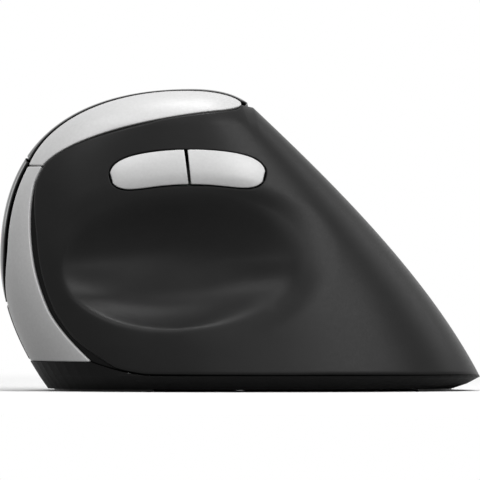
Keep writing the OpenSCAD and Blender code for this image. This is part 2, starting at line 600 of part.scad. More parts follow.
// Boards and the frame that carries them.
finger_screws = [[-14, 10], [23, 19], [23, -3]];
module finger_board() {
  color("#1f6b3a") finger_frame() difference() {
    translate([0, 0, board_z - board_t]) linear_extrude(board_t)
      polygon([[-17, -8], [-10, -14.2], [26, -14.2], [26, 23], [-17, 23]]);
    block(-12.6, 12.4, -4.4, 4.4, board_z - 3, board_z + 1);
    for (p = finger_screws) post(p[0], p[1], board_z - 3, board_z + 1, 2);
  }
}
deck_z = board_z - 1.4 - 1.8;
leg_y = 24 * sin(finger_tilt) + (deck_z - 0.8) * cos(finger_tilt);
floor_z = foot_h + floor_t;
module yaw_frame() translate([finger_anchor[0], finger_anchor[1], 0]) rotate([0, 0, finger_yaw]) children();
leg_top = finger_anchor[2] - 24 * cos(finger_tilt) + (deck_z - 0.8) * sin(finger_tilt) + 0.8;
module inner_frame() {
  color("#4a4c50") difference() {
    union() {
      finger_frame() {
        translate([0, 0, deck_z - 1.6]) linear_extrude(1.6)
          polygon([[-17, 6.5], [13, 6.5], [13, -5], [30, -5], [30, -15.7], [36, -15.7], [36, 24],
            [-17, 24]]);
        for (p = finger_screws) post(p[0], p[1], deck_z - 0.2, board_z - board_t, 4.4);
        for (y = [-15.5, -6.4, 18.8]) {
          block(hinge_x - 2, hinge_x + 2, y, y + 1.6, deck_z - 0.2, hinge_z);
          rod(hinge_x, hinge_z, y, y + 1.6, 4);
        }
      }
      yaw_frame() {
        block(-16.8, -10, leg_y - 1, leg_y + 1, floor_z, leg_top);
        block(-16.8, -10, leg_y - 6, leg_y + 1, floor_z, floor_z + 2);
        block(25, 35.8, leg_y - 1, leg_y + 1, tub_top, leg_top);
        block(25, 35.8, leg_y - 6, leg_y + 1, tub_top, tub_top + 1.6);
      }
    }
    finger_frame() {
      rod(hinge_x, hinge_z, -20, 24, click_pin_d + 0.02);
      for (p = finger_screws) post(p[0], p[1], deck_z - 1, board_z, 1.6);
    }
    yaw_frame() {
      post(-13.5, leg_y - 3.6, 0, floor_z + 1.9, screw_d);
      for (x = [27.5, 33.5]) post(x, leg_y - 3.6, tub_top - 1, tub_top + 3, screw_d + 0.2);
    }
  }
}
main_x = [-38, -11.5];
main_y = [-17, 13];
main_z = 8;
main_screws = [[-35.5, -14.5], [-35.5, 10.5], [-14, -14.5], [-14, 10.5]];
module main_board()
  color("#1f6b3a") difference() {
    block(main_x[0], main_x[1], main_y[0], main_y[1], main_z, main_z + board_t);
    for (p = main_screws) post(p[0], p[1], main_z - 1, main_z + 3, 2);
  }
sensor = [-25, -2];
module sensor_chip()
  color("#1a1a1c") block(sensor[0] - 5, sensor[0] + 5, sensor[1] - 4, sensor[1] + 4, main_z - 2.2, main_z);
module sensor_lens()
  color("#dfe8ec") {
    block(sensor[0] - 9, sensor[0] + 9, sensor[1] - 5.5, sensor[1] + 5.5, floor_z, floor_z + 1.2);
    block(sensor[0] - 3.4, sensor[0] + 3.4, sensor[1] - 2.4, sensor[1] + 2.4, floor_z - 1.4, floor_z + 0.2);
    post(sensor[0], sensor[1], floor_z + 1, main_z - 2.3, 5);
  }
module controller_chip()
  color("#1a1a1c") block(-30, -22, -12, -4, main_z + board_t, main_z + board_t + 1);
module screw(x, y, z, l) {
  post(x, y, z - l, z + 0.1, 1.5);
  difference() {
    post(x, y, z, z + 1.3, 3.4);
    block(x - 1.2, x + 1.2, y - 0.3, y + 0.3, z + 0.7, z + 2);
  }
}
module board_screws()
  color("#a9adb3") {
    finger_frame() for (p = finger_screws) screw(p[0], p[1], board_z, 3);
    for (p = main_screws) screw(p[0], p[1], main_z + board_t, 4);
    thumb_frame() for (s = [-1, 1]) screw(s * 13.5, 0, -9, 2);
  }
module frame_screws()
  color("#a9adb3") {
    yaw_frame() for (x = [27.5, 33.5]) screw(x, leg_y - 3.6, tub_top + 1.6, 2.4);
    yaw_frame() translate([-13.5, leg_y - 3.6, foot_h + 1.4]) rotate([180, 0, 0]) screw(0, 0, 0, floor_t
      + 0.2);
  }

// Ribbon cables from the two small boards down to the main board.
module ribbon(pts, w) rotate([90, 0, 90]) linear_extrude(w, center = true) polygon(pts);
fr_top = finger_anchor + [0, 23 * sin(finger_tilt) + (board_z + 0.15) * cos(finger_tilt) + 1.3,
  -23 * cos(finger_tilt) + (board_z + 0.15) * sin(finger_tilt)];
module finger_ribbon()
  color("#c8b48a") translate([-22, 0, 0])
    ribbon([[fr_top[1] + 0.1, fr_top[2]], [fr_top[1] + 0.5, fr_top[2] + 0.2], [9.4, 16],
      [9, main_z + board_t + 0.05],
      [8.6, main_z + board_t + 0.05], [9, 16]], 8);
th_low = thumb_anchor + [0, -4.6 * sin(thumb_tilt) + 9.4 * cos(thumb_tilt),
  -4.6 * cos(thumb_tilt) - 9.4 * sin(thumb_tilt)];
module thumb_ribbon()
  color("#c8b48a") translate([-16, 0, 0])
    ribbon([[th_low[1], th_low[2] - 0.1], [th_low[1] + 0.35, th_low[2] - 0.1], [-10.6, 40],
      [-10.6, main_z + board_t + 0.05],
      [-11, main_z + board_t + 0.05], [-11, 40]], 6);

// Base with the battery bay, the receiver bay and the power switch.
bay_x = -8;
bay_y = -1.5;
bay_l = cell_l + 3.8;
cell_pitch = cell_d + 0.4;
bay_half = cell_pitch + 0.3;
cell_z = foot_h + door_t + 0.4 + cell_d / 2;
tub_top = cell_z + cell_d / 2 + 1.5;
receiver = [12, 17.1];
power = [18, -22];
function plan(z, inset) = [for (a = [0:5:355])
  let (m = x_mid(z))
  [m + signed_pow(cos(a), 2 / plan_power) * ((cos(a) < 0 ? m - x_front(z) : x_back(z) - m) - inset),
    ridge_y + signed_pow(sin(a), 2 / plan_power) * ((sin(a) < 0 ? thumb_depth(z)
      : finger_depth(z)) - inset)]];
// A solid through the outlines of the body at several levels, set in by the inset.
module stack(levels, inset) {
  rings = [for (z = levels) [for (p = plan(z, inset)) [p[0], p[1], z]]];
  n = len(rings[0]);
  top = n * (len(levels) - 1);
  polyhedron(
    points = [for (r = rings) each r],
    faces = concat(
      [for (k = [0:len(levels) - 2], i = [0:n - 1])
        let (a = k * n + i)
        let (b = k * n + (i + 1) % n)
        each [[a, a + n, b + n], [a, b + n, b]]],
      [for (i = [1:n - 2]) each [[0, i, i + 1], [top, top + i + 1, top + i]]]),
    convexity = 4);
}
module base_tray() {
  rise = [for (i = [0:10]) mix(rise_x[0], rise_x[1], i / 10)];
  rim_cut = concat([for (x = rise) [x, rim_top(x)]], [[80, rim_z], [80, 20], [rise_x[0], 20]]);
  color("#141517") difference() {
    union() {
      difference() {
        stack([foot_h, mix(foot_h, tail_z, 0.4), tail_z, rim_z, trim_foot_z], 0);
        stack([floor_z, rim_z, trim_foot_z + 1], wall);
        rotate([90, 0, 0]) linear_extrude(120, center = true) polygon(rim_cut);
      }
      block(bay_x - 1.2, bay_x + bay_l + 1.2, bay_y - bay_half - 1.2, bay_y + bay_half + 1.2, floor_z - 1,
        tub_top);
      block(receiver[0] - receiver_w / 2 - 1.4, receiver[0] + receiver_w / 2 + 1.4,
        receiver[1] - receiver_t / 2 - 1.3,
        receiver[1] + receiver_t / 2 + 1.3, floor_z - 1, 19.6);
      for (p = main_screws) post(p[0], p[1], floor_z - 1, main_z, 5);
    }
    block(bay_x, bay_x + bay_l, bay_y - bay_half, bay_y + bay_half, -1, tub_top - 1.2);
    block(bay_x - 2.3, bay_x + bay_l + 2.3, bay_y - bay_half - 2.3, bay_y + bay_half + 2.3, -1, foot_h
      + door_t + 0.15);
    block(receiver[0] - receiver_w / 2 - 0.2, receiver[0] + receiver_w / 2 + 0.2,
      receiver[1] - receiver_t / 2 - 0.2,
      receiver[1] + receiver_t / 2 + 0.2, -1, 6.5);
    block(receiver[0] - 6.2, receiver[0] + 6.2, receiver[1] - 2.45, receiver[1] + 2.45, -1, 18.4);
    block(sensor[0] - 3.7, sensor[0] + 3.7, sensor[1] - 2.7, sensor[1] + 2.7, -1, floor_z + 1);
    block(power[0] - 3.5, power[0] + 3.5, power[1] - 1.4, power[1] + 1.4, -1, floor_z + 1);
    yaw_frame() {
      post(-13.5, leg_y - 3.6, -1, floor_z + 1, screw_d + 0.2);
      post(-13.5, leg_y - 3.6, -1, foot_h + 1.4, 4);
      for (x = [27.5, 33.5]) post(x, leg_y - 3.6, tub_top - 0.9, tub_top + 1, 1.52);
    }
    for (p = main_screws) post(p[0], p[1], main_z - 3.5, main_z + 1, 1.52);
  }
}
module foot(x0, x1, inset, w) {
  linear_extrude(foot_h) intersection() {
    difference() {
      polygon(plan(foot_h, inset));
      polygon(plan(foot_h, inset + w));
    }
    translate([x0, -50]) square([x1 - x0, 100]);
  }
}
module front_foot() color("#131416") foot(-60, -21.5, 1.6, 5.5);
module rear_foot() color("#131416") foot(44.3, 60, 0.4, 6);
module battery_door() {
  x0 = bay_x - 2;
  y0 = bay_y - bay_half - 2;
  color("#16171a") difference() {
    union() {
      block(x0 + door_t / 2, bay_x + bay_l + 2, y0, y0 + 2 * bay_half + 4, foot_h, foot_h + door_t);
      rod(x0 + door_t / 2, foot_h + door_t / 2, y0, y0 + 2 * bay_half + 4, door_t);
    }
    for (i = [0:3]) block(bay_x + bay_l - 6 + 1.6 * i, bay_x + bay_l - 5.2 + 1.6 * i, bay_y - 5, bay_y
      + 5, -1, foot_h + 0.4);
  }
}
module cell(y, s) {
  translate([bay_x + bay_l / 2 + s * 1.1, y, cell_z]) rotate([0, s * 90, 0]) {
    translate([0, 0, -cell_l / 2]) cylinder(d = cell_d, h = cell_l - 0.9);
    translate([0, 0, cell_l / 2 - 1]) cylinder(d = 3.8, h = 1);
  }
}
module front_battery() color("#4a6fa5") cell(bay_y - cell_pitch / 2, 1);
module rear_battery() color("#4a6fa5") cell(bay_y + cell_pitch / 2, -1);
module battery_springs()
  color("#c9c4b4") for (s = [-1, 1])
    translate([bay_x + bay_l / 2 - s * (bay_l / 2 - 0.02), bay_y - s * cell_pitch / 2, cell_z]) rotate([0,
      s * 90, 0]) {
      cylinder(d = 7.6, h = 0.5);
      translate([0, 0, 0.4]) cylinder(d1 = 6.4, d2 = 4.4, h = bay_l / 2 - cell_l / 2 + 1.1 - 0.48);
    }
module battery_plates()
  color("#c9c4b4") for (s = [-1, 1])
    translate([bay_x + bay_l / 2 + s * (bay_l / 2 - 0.32), bay_y - s * cell_pitch / 2, cell_z])
      cube([0.6, 8, 8], center = true);
module receiver_body()
  color("#1b1c1e") difference() {
    block(receiver[0] - receiver_w / 2, receiver[0] + receiver_w / 2, receiver[1] - receiver_t / 2,
      receiver[1] + receiver_t / 2, foot_h + 0.1, 6.2);
    block(receiver[0] - 4, receiver[0] + 4, receiver[1] + receiver_t / 2 - 0.6, receiver[1] + receiver_t,
      -1, 2.2);
  }
module receiver_plug()
  color("#c4c7cb") difference() {
    block(receiver[0] - 6, receiver[0] + 6, receiver[1] - 2.25, receiver[1] + 2.25, 6.2, 18);
    block(receiver[0] - 5.6, receiver[0] + 5.6, receiver[1] - 1.85, receiver[1], 9, 20);
  }
module power_body()
  color("#b4b7bc") difference() {
    block(power[0] - 5, power[0] + 5, power[1] - 2, power[1] + 2, floor_z, floor_z + 3.4);
    block(power[0] - 2.6, power[0] + 2.6, power[1] - 0.7, power[1] + 0.7, floor_z - 1, floor_z + 1.8);
  }
module power_knob()
  color("#d8dade") {
    block(power[0] - 3.2, power[0] + 0.8, power[1] - 1.2, power[1] + 1.2, foot_h + 0.3, floor_z - 0.05);
    block(power[0] - 2.2, power[0] - 0.2, power[1] - 0.6, power[1] + 0.6, floor_z - 0.1, floor_z + 1.5);
  }

thumb_shell();
top_trim();
front_trim();
left_plate();
right_plate();
wheel_bezel();
palm_shell();
forward_button();
back_button();
forward_lever();
back_lever();
thumb_pins();
forward_switch();
back_switch();
forward_plunger();
back_plunger();
thumb_board();
thumb_bracket();
wheel_hub();
wheel_tyre();
wheel_axle();
wheel_carriage();
axle_posts();
wheel_emitter();
wheel_detector();
wheel_switch();
wheel_plunger();
speed_button();
speed_switch();
speed_plunger();
left_switch();
right_switch();
left_plunger();
right_plunger();
left_arm();
right_arm();
click_pin();
finger_board();
inner_frame();
main_board();
sensor_chip();
sensor_lens();
controller_chip();
board_screws();
frame_screws();
finger_ribbon();
thumb_ribbon();
base_tray();
front_foot();
rear_foot();
battery_door();
front_battery();
rear_battery();
battery_springs();
battery_plates();
receiver_body();
receiver_plug();
power_body();
power_knob();
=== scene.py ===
"""Looks of a wireless vertical mouse for the right hand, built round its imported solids.

The front points to -X, the thumb side to -Y and up is +Z. Shapes are worked out in millimetres
with the same formulas as the part's source, and go into the meshes in metres.
"""
import json
import math

import bpy
import numpy as np
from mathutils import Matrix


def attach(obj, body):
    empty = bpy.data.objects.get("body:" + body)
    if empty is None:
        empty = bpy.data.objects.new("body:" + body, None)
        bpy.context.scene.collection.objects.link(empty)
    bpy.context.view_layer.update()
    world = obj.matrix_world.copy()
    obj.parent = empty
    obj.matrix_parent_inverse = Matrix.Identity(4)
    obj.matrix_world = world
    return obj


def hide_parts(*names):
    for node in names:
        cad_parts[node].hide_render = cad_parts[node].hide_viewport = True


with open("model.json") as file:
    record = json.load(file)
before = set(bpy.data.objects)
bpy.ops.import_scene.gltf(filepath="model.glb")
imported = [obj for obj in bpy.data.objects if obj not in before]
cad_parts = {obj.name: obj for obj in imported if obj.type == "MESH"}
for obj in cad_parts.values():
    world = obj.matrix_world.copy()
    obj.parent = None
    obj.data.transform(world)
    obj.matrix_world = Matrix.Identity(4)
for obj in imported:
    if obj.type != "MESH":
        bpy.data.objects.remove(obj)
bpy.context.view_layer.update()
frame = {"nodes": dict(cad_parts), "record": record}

MM = 0.001

# Sizes of the body, as in the part's source.
BODY_H, FRONT_X, TAIL_X = 75.4, -60.0, 60.0
THUMB_REACH, FINGER_REACH, RIDGE_Y = 34.0, 39.0, -2.5
THUMB_TILT, FINGER_TILT = math.radians(18.7), math.radians(25.2)
NOSE_Z, TAIL_Z, FOOT_H, RIM_Z = 33.0, 3.5, 0.6, 4.0
APEX_X, CROWN_Z, PLAN_POWER = -12.0, 66.0, 2.2
UNDER_LEAN, FLARE, FLARE_H = 0.9, 1.5, 5.0
WALL, SEAM, CLICK_GAP = 1.8, 0.3, 0.5
CROWN_REAR = np.array([APEX_X + 15, BODY_H - 4.4])
SCOOP_X, SCOOP_Z, SCOOP_DEPTH = APEX_X - 3.5, 32.0, 9.0
SCOOP_A, SCOOP_UP, SCOOP_DOWN = 29.0, 16.0, 16.5
TRIM_SEAM_Z, TRIM_W, TRIM_FOOT_Z = 56.3, 5.6, RIM_Z + 3.4
RISE = (-37.0, -22.0)
PAIR_X, PAIR_Z, PAIR_L, PAIR_H, PAIR_BEND = APEX_X - 1, BODY_H - 19.6, 38.1, 8.75, 71.0
THUMB_GAP = 0.45
SPLIT_FRONT_Z, SPLIT_FALL = 58.6, 0.159
WHEEL_X, WHEEL_D, WHEEL_W, WHEEL_OUT, TYRE_T = APEX_X - 18, 23.0, 7.0, 3.5, 1.6
BEZEL_X, BEZEL_A = APEX_X - 14, 23.0
REAR_LOW, LOW_FRONT_Z = (APEX_X + 22, 26.0), 22.0
SPEED_X = 17.0
FINGER_YAW = math.radians(8)

# Sizes that the looks have of their own: slit above and below the thumb buttons, their lift and bulge,
# the powers of their rounded ends, and the depth of the dark strip of painted shade sunk beside the front
# band.
THUMB_SLIT, CAP_LIFT, CAP_BULGE = 0.22, 0.3, 0.75
END_POWER, SIDE_POWER = 6.4, 0.45
SHADE_STRIP_DEPTH = 0.7


# Curves of the outline seen from the side.
def bezier(corners, t):
    """Cubic curve: the four corners weighed by (1-t)^3, 3t(1-t)^2, 3t^2(1-t) and t^3."""
    t = np.asarray(t, float)[..., None]
    a, b, c, d = np.asarray(corners, float)
    return (1 - t) ** 3 * a + 3 * t * (1 - t) ** 2 * b + 3 * t * t * (1 - t) * c + t ** 3 * d


def drawn(*curves):
    """Cubic curves drawn one after the other, 2001 points each."""
    return np.concatenate([bezier(c, np.linspace(0, 1, 2001)) for c in curves])


front_low = [(FRONT_X + 12, FOOT_H), (FRONT_X + 6.6, 7.8), (FRONT_X, NOSE_Z - 13), (FRONT_X, NOSE_Z)]
front_high = [(FRONT_X, NOSE_Z), (FRONT_X, NOSE_Z + 0.66 * (BODY_H - NOSE_Z)),
              (APEX_X + 0.66 * (FRONT_X - APEX_X), BODY_H), (APEX_X, BODY_H)]
back_low = [(TAIL_X - 6.7, FOOT_H), (TAIL_X - 4, 1.3), (TAIL_X - 2, 2.2), (TAIL_X, TAIL_Z)]
back_slope = [(TAIL_X, TAIL_Z), (TAIL_X - 12.9, TAIL_Z + 24.9), CROWN_REAR + (20.4, -19.2), CROWN_REAR]
back_crown = [CROWN_REAR, CROWN_REAR + (-2.9, 2.7), (APEX_X + 7.5, BODY_H), (APEX_X, BODY_H)]
front_line = drawn(front_low, front_high)
back_line = drawn(back_low, back_slope, back_crown)
top_line = np.concatenate([drawn(front_high), drawn(back_slope, back_crown)[::-1]])


def x_front(z):
    """Front of the outline at height z."""
    return np.interp(z, front_line[:, 1], front_line[:, 0])


def x_back(z):
    """Back of the outline at height z."""
    return np.interp(z, back_line[:, 1], back_line[:, 0])


def top_z(x):
    """Height of the ridge at x."""
    return np.interp(x, top_line[:, 0], top_line[:, 1])


def mix(a, b, t):
    """Straight line from a to b."""
    return a + (b - a) * t


def ease(t):
    """Smooth step 3t^2 - 2t^3 between 0 and 1."""
    c = np.clip(t, 0, 1)
    return c * c * (3 - 2 * c)


def signed_power(v, k):
    """|v|^k with the sign of v."""
    return np.sign(v) * np.abs(v) ** k


# Skin of the body: level sections that are half a super-ellipse on each side of the ridge.
def cap(z):
    """Quarter ellipse that closes the top: sqrt(1 - h^2), h from the crown to the ridge."""
    h = np.clip((z - CROWN_Z) / (BODY_H - CROWN_Z), 0, 1)
    return np.sqrt(1 - h * h)


def thumb_depth(z):
    """Depth of the thumb half: a lean line closed by the cap, tucked in below the rim."""
    return np.where(z < RIM_Z, THUMB_REACH - UNDER_LEAN * (RIM_Z - z),
                    cap(z) * (THUMB_REACH - math.tan(THUMB_TILT) * (z - RIM_Z)))


def finger_depth(z):
    """Depth of the finger half: a lean line with a small flare at its foot, closed by the cap."""
    flare = FLARE * (1 - np.exp(np.minimum(RIM_Z - z, 0) / FLARE_H))
    return np.where(z < RIM_Z, FINGER_REACH - UNDER_LEAN * (RIM_Z - z),
                    cap(z) * (FINGER_REACH - flare - math.tan(FINGER_TILT) * (z - RIM_Z)))


def along(x, z):
    """0 at the middle of a level section, 1 at its front and back."""
    m = APEX_X * z / BODY_H
    return np.abs(x - m) / np.maximum(0.001, np.where(x < m, m - x_front(z), x_back(z) - m))


def share(x, z):
    """Super-ellipse (1 - a^p)^(1/p) of the way along."""
    return np.maximum(0, 1 - along(x, z) ** PLAN_POWER) ** (1 / PLAN_POWER)


def scoop(x, z):
    """Thumb dish: depth times s, which is w = 1 - dx^2 - dz^2 softly cut off at 0; the cut is sharp in
    front and below, and soft behind and above. Below the middle, 1 + 0.6 (1 - s) makes the wall steeper."""
    zc = SCOOP_Z + 0.04 * (x - SCOOP_X)
    dx = (x - SCOOP_X) / SCOOP_A
    dz = (z - zc) / np.where(z > zc, SCOOP_UP, SCOOP_DOWN)
    w = 1 - dx * dx - dz * dz
    e = 0.06 + 0.3 * ease(dx) + 0.2 * ease(dz)
    s = (w + np.sqrt(w * w + e * e)) / 2
    return SCOOP_DEPTH * ease((w + 1) / 0.8) * s * (1 + 0.6 * ease(-2 * dz) * (1 - s))


def thumb_y(x, z):
    """Thumb face: the ridge less the depth's share, plus the scoop."""
    return RIDGE_Y - thumb_depth(z) * share(x, z) + scoop(x, z)


def finger_y(x, z):
    """Finger face: the ridge plus the depth's share."""
    return RIDGE_Y + finger_depth(z) * share(x, z)


def on_thumb(x, z, clear=SEAM / 2):
    """Points of the thumb face, kept clear of the ridge plane."""
    return np.stack([x, np.minimum(thumb_y(x, z), RIDGE_Y - clear), z], -1)


def on_finger(x, z, clear=SEAM / 2):
    """Points of the finger face, kept clear of the ridge plane."""
    return np.stack([x, np.maximum(finger_y(x, z), RIDGE_Y + clear), z], -1)


def body_f(x, y, z):
    """Zero on the skin: a^p + v^p - 1, v the way from the ridge to the face."""
    v = np.where(y < RIDGE_Y, (RIDGE_Y - y + scoop(x, z)) / np.maximum(0.001, thumb_depth(z)),
                 (y - RIDGE_Y) / np.maximum(0.001, finger_depth(z)))
    return along(x, z) ** PLAN_POWER + np.maximum(0, v) ** PLAN_POWER - 1


def unit(v):
    """Vectors of length 1."""
    return v / np.maximum(1e-9, np.linalg.norm(v, axis=-1, keepdims=True))


def outward(p):
    """Direction square to the skin: the slope of body_f, by differences of 0.03 mm."""
    h = 0.03
    x, y, z = p[..., 0], p[..., 1], np.minimum(p[..., 2], BODY_H - 2 * h)
    return unit(np.stack([body_f(x + h, y, z) - body_f(x - h, y, z),
                          body_f(x, y + h, z) - body_f(x, y - h, z),
                          body_f(x, y, z + h) - body_f(x, y, z - h)], -1))


def shell_foot(x):
    """Lower edge of the shells: the rim of the base, which rises at the front, plus the seam."""
    return RIM_Z + 3.4 * np.clip((RISE[1] - x) / (RISE[1] - RISE[0]), 0, 1) ** 1.6 + SEAM


# From a surface to a moulded shell with rolled edges.
def steps_of(surface, u, v, rim):
    """Values of v at equal lengths along each row u, its ends drawn in by the rim, one value or two."""
    fine = 0.5 - 0.5 * np.cos(np.pi * np.linspace(0, 1, 500))
    row = surface(u[:, None], fine[None, :])
    run = np.cumsum(np.linalg.norm(np.diff(row, axis=1, prepend=row[:, :1]), axis=-1), axis=1)
    near, far = (np.minimum(r, 0.3 * run[:, -1:]) for r in np.broadcast_to(rim, 2))
    want = mix(near, run[:, -1:] - far, v)
    shift = 1000.0 * np.arange(len(u))[:, None]
    return np.interp((want + shift).ravel(), (run + shift).ravel(), np.tile(fine, len(u))).reshape(want.shape)


def patch(surface, nu, nv, rim):
    """Grid on an open surface, at even steps both ways, drawn in by the rim on all four sides."""
    u = steps_of(lambda a, b: surface(b, np.full_like(b, 0.5)), np.zeros(1), np.linspace(0, 1, nu), rim)[0]
    return surface(u[:, None], steps_of(surface, u, np.linspace(0, 1, nv), rim))


def slopes(p):
    """Direction square to a grid: the cross product of its two slopes."""
    return unit(np.cross(np.gradient(p, axis=0), np.gradient(p, axis=1)))


def rolled(grids, radius, steps, ring):
    """Adds a quarter round to both ends of axis 1: along the edge, r sin(a) outward and r (1 - cos(a)) in.
    The radius is one value, or one for each end. grids holds the skin, its normals, the same sheet
    unrolled, and the unrolled normals."""
    p, n, f, m = grids
    a = np.linspace(0, np.pi / 2, steps + 1)[1:, None]
    ends = []
    for e, inner, radius in zip((0, -1), (1, -2), np.broadcast_to(radius, 2)):
        b, nb, fb, mb = p[:, e], n[:, e], f[:, e], m[:, e]
        t = np.roll(b, -1, 0) - np.roll(b, 1, 0) if ring else np.gradient(b, axis=0)
        d = unit(np.cross(t, nb))
        d *= np.sign(np.sum(d * (b - p[:, inner]), -1, keepdims=True))
        b, nb, fb, mb, d = (g[:, None] for g in (b, nb, fb, mb, d))
        flat = nb - np.sum(nb * mb, -1, keepdims=True) * mb
        made = (b + radius * np.sin(a) * d - radius * (1 - np.cos(a)) * nb, np.cos(a) * nb + np.sin(a) * d,
                fb + radius * np.sin(a) * d - radius * (1 - np.cos(a)) * flat, mb + 0 * a)
        ends.append([g[:, ::-1] if e == 0 else g for g in made])
    return [np.concatenate([s, g, t], 1) for s, g, t in zip(ends[0], grids, ends[1])]


def grid_faces(ni, nj, ring):
    """Four-cornered faces of a grid, row i beside row i + 1, closed on itself for a ring."""
    i, j = np.meshgrid(np.arange(ni if ring else ni - 1), np.arange(nj - 1), indexing="ij")
    k = (i + 1) % ni
    return np.stack([i * nj + j, i * nj + j + 1, k * nj + j + 1, k * nj + j], -1).reshape(-1, 4)


def edge_loop(ni, nj):
    """Indices round the edge of an open grid."""
    k = np.arange(ni * nj).reshape(ni, nj)
    return np.concatenate([k[0], k[1:, -1], k[-1, -2::-1], k[-2:0:-1, 0]])


def shell(p, n, wall, radius, ring=False, side=0, steps=4, thin=1):
    """Closed shell: the skin with rolled edges outside, the sheet a wall further in, and walls between."""
    grids = rolled([p, n, p, n], radius, steps, ring)
    if not ring:
        grids = [g.swapaxes(0, 1) for g in rolled([g.swapaxes(0, 1) for g in grids], radius, steps, False)]
    skin, _, sheet, normal = grids
    ni, nj = skin.shape[:2]
    rows = np.unique(np.append(np.arange(0, nj, thin), nj - 1)) if ring else np.arange(nj)
    inner = (sheet - wall * normal)[:, rows]
    if side:
        bound = RIDGE_Y + side * SEAM / 2
        inner[..., 1] = np.minimum(inner[..., 1], bound) if side < 0 else np.maximum(inner[..., 1], bound)
        inner[..., 2] = np.maximum(inner[..., 2], shell_foot(inner[..., 0]))
    nr = len(rows)
    base = ni * nj
    faces = [grid_faces(ni, nj, ring), base + grid_faces(ni, nr, ring)[:, ::-1]]
    if ring:
        i, k = np.arange(ni), (np.arange(ni) + 1) % ni
        faces += [np.stack([i * nj, k * nj, base + k * nr, base + i * nr], -1),
                  np.stack([k * nj + nj - 1, i * nj + nj - 1,
                            base + i * nr + nr - 1, base + k * nr + nr - 1], -1)]
    else:
        a = edge_loop(ni, nj)
        b = np.roll(a, -1)
        faces.append(np.stack([b, a, base + a, base + b], -1))
    faces = np.concatenate(faces)
    middle = np.cross(p[1:, :-1] - p[:-1, :-1], p[:-1, 1:] - p[:-1, :-1])
    if np.sum(middle * n[:-1, :-1]) > 0:
        faces = faces[:, ::-1]
    return np.concatenate([skin.reshape(-1, 3), inner.reshape(-1, 3)]), faces


def piece(name, points, faces, slot, body, *nodes):
    """Puts points, in millimetres, and faces into a smooth mesh that rides a body and stands for nodes."""
    mesh = bpy.data.meshes.new(name)
    mesh.from_pydata((points * MM).tolist(), [], faces.tolist())
    mesh.update()
    mesh.shade_smooth()
    obj = bpy.data.objects.new(name, mesh)
    bpy.context.scene.collection.objects.link(obj)
    mesh.materials.append(finishes[slot])
    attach(obj, body)
    if nodes:
        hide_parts(*nodes)
    return obj


# Materials.
def colour(code):
    """Linear colour of a six-digit sRGB hex code."""
    s = np.array([int(code[k:k + 2], 16) for k in (0, 2, 4)]) / 255
    return (*np.where(s <= 0.04045, s / 12.92, ((s + 0.055) / 1.055) ** 2.4).tolist(), 1.0)


def add(tree, kind, inputs=None, **settings):
    """Adds a node with its settings; an input is a value, or another node's output to link."""
    node = tree.nodes.new(kind)
    for key, value in settings.items():
        setattr(node, key, value)
    for key, value in (inputs or {}).items():
        if isinstance(value, bpy.types.NodeSocket):
            tree.links.new(value, node.inputs[key])
        else:
            node.inputs[key].default_value = value
    return node


def per_metre(millimetres):
    """Texture scale of a pattern whose cells are so many millimetres wide."""
    return 1000.0 / millimetres


def new_material(name):
    """Empty node material with its shader, and the object coordinates that its patterns read."""
    m = bpy.data.materials.new(name)
    m.use_nodes = True
    tree = m.node_tree
    shader = tree.nodes["Principled BSDF"]
    where = add(tree, "ShaderNodeTexCoord").outputs["Object"]
    return m, tree, shader, where


def moulded(name, dark, light, rough, grain, depth, patch_mm=9.0, specular=0.5, spread=0.06, metallic=0.0,
            stretch=(1, 1, 1)):
    """A moulded or painted surface: two close tones in soft patches, roughness that wanders by the
    spread, and a grain of the given width and depth in millimetres as bump."""
    m, tree, shader, where = new_material(name)
    cloud = add(tree, "ShaderNodeTexNoise", {"Vector": where, "Scale": per_metre(patch_mm), "Detail": 3.0})
    tone = add(tree, "ShaderNodeValToRGB", {"Fac": cloud.outputs["Fac"]})
    for stop, place, code in zip(tone.color_ramp.elements, (0.3, 0.7), (dark, light)):
        stop.position, stop.color = place, colour(code)
    pulled = add(tree, "ShaderNodeMapping", {"Vector": where, "Scale": stretch})
    noise = add(tree, "ShaderNodeTexNoise", {"Vector": pulled.outputs["Vector"], "Scale": per_metre(grain),
                                             "Detail": 2.0})
    worn = add(tree, "ShaderNodeMapRange", {"Value": noise.outputs["Fac"], "From Min": 0.25, "From Max": 0.75,
                                            "To Min": rough - spread, "To Max": rough + spread})
    bump = add(tree, "ShaderNodeBump", {"Height": noise.outputs["Fac"], "Strength": 1.0,
                                        "Distance": depth * MM})
    tree.links.new(tone.outputs["Color"], shader.inputs["Base Color"])
    tree.links.new(worn.outputs["Result"], shader.inputs["Roughness"])
    tree.links.new(bump.outputs["Normal"], shader.inputs["Normal"])
    shader.inputs["Specular IOR Level"].default_value = specular
    shader.inputs["Metallic"].default_value = metallic
    return m


def circuit_board():
    """FR4 laminate under dark green solder mask: tracks 0.5 mm wide on a 2 mm grid show as a paler green."""
    m, tree, shader, where = new_material("fr4_solder_mask")
    tracks = add(tree, "ShaderNodeTexBrick", {
        "Vector": where, "Scale": per_metre(8.0), "Color1": colour("0b1c14"), "Color2": colour("0e2318"),
        "Mortar": colour("1c4230"), "Mortar Size": 0.03, "Brick Width": 1.1, "Row Height": 0.27})
    dust = add(tree, "ShaderNodeTexNoise", {"Vector": where, "Scale": per_metre(1.5)})
    bump = add(tree, "ShaderNodeBump", {"Height": tracks.outputs["Fac"], "Strength": 0.6,
                                        "Distance": 0.03 * MM})
    gloss = add(tree, "ShaderNodeMapRange", {"Value": dust.outputs["Fac"], "To Min": 0.25, "To Max": 0.45})
    tree.links.new(tracks.outputs["Color"], shader.inputs["Base Color"])
    tree.links.new(gloss.outputs["Result"], shader.inputs["Roughness"])
    tree.links.new(bump.outputs["Normal"], shader.inputs["Normal"])
    return m


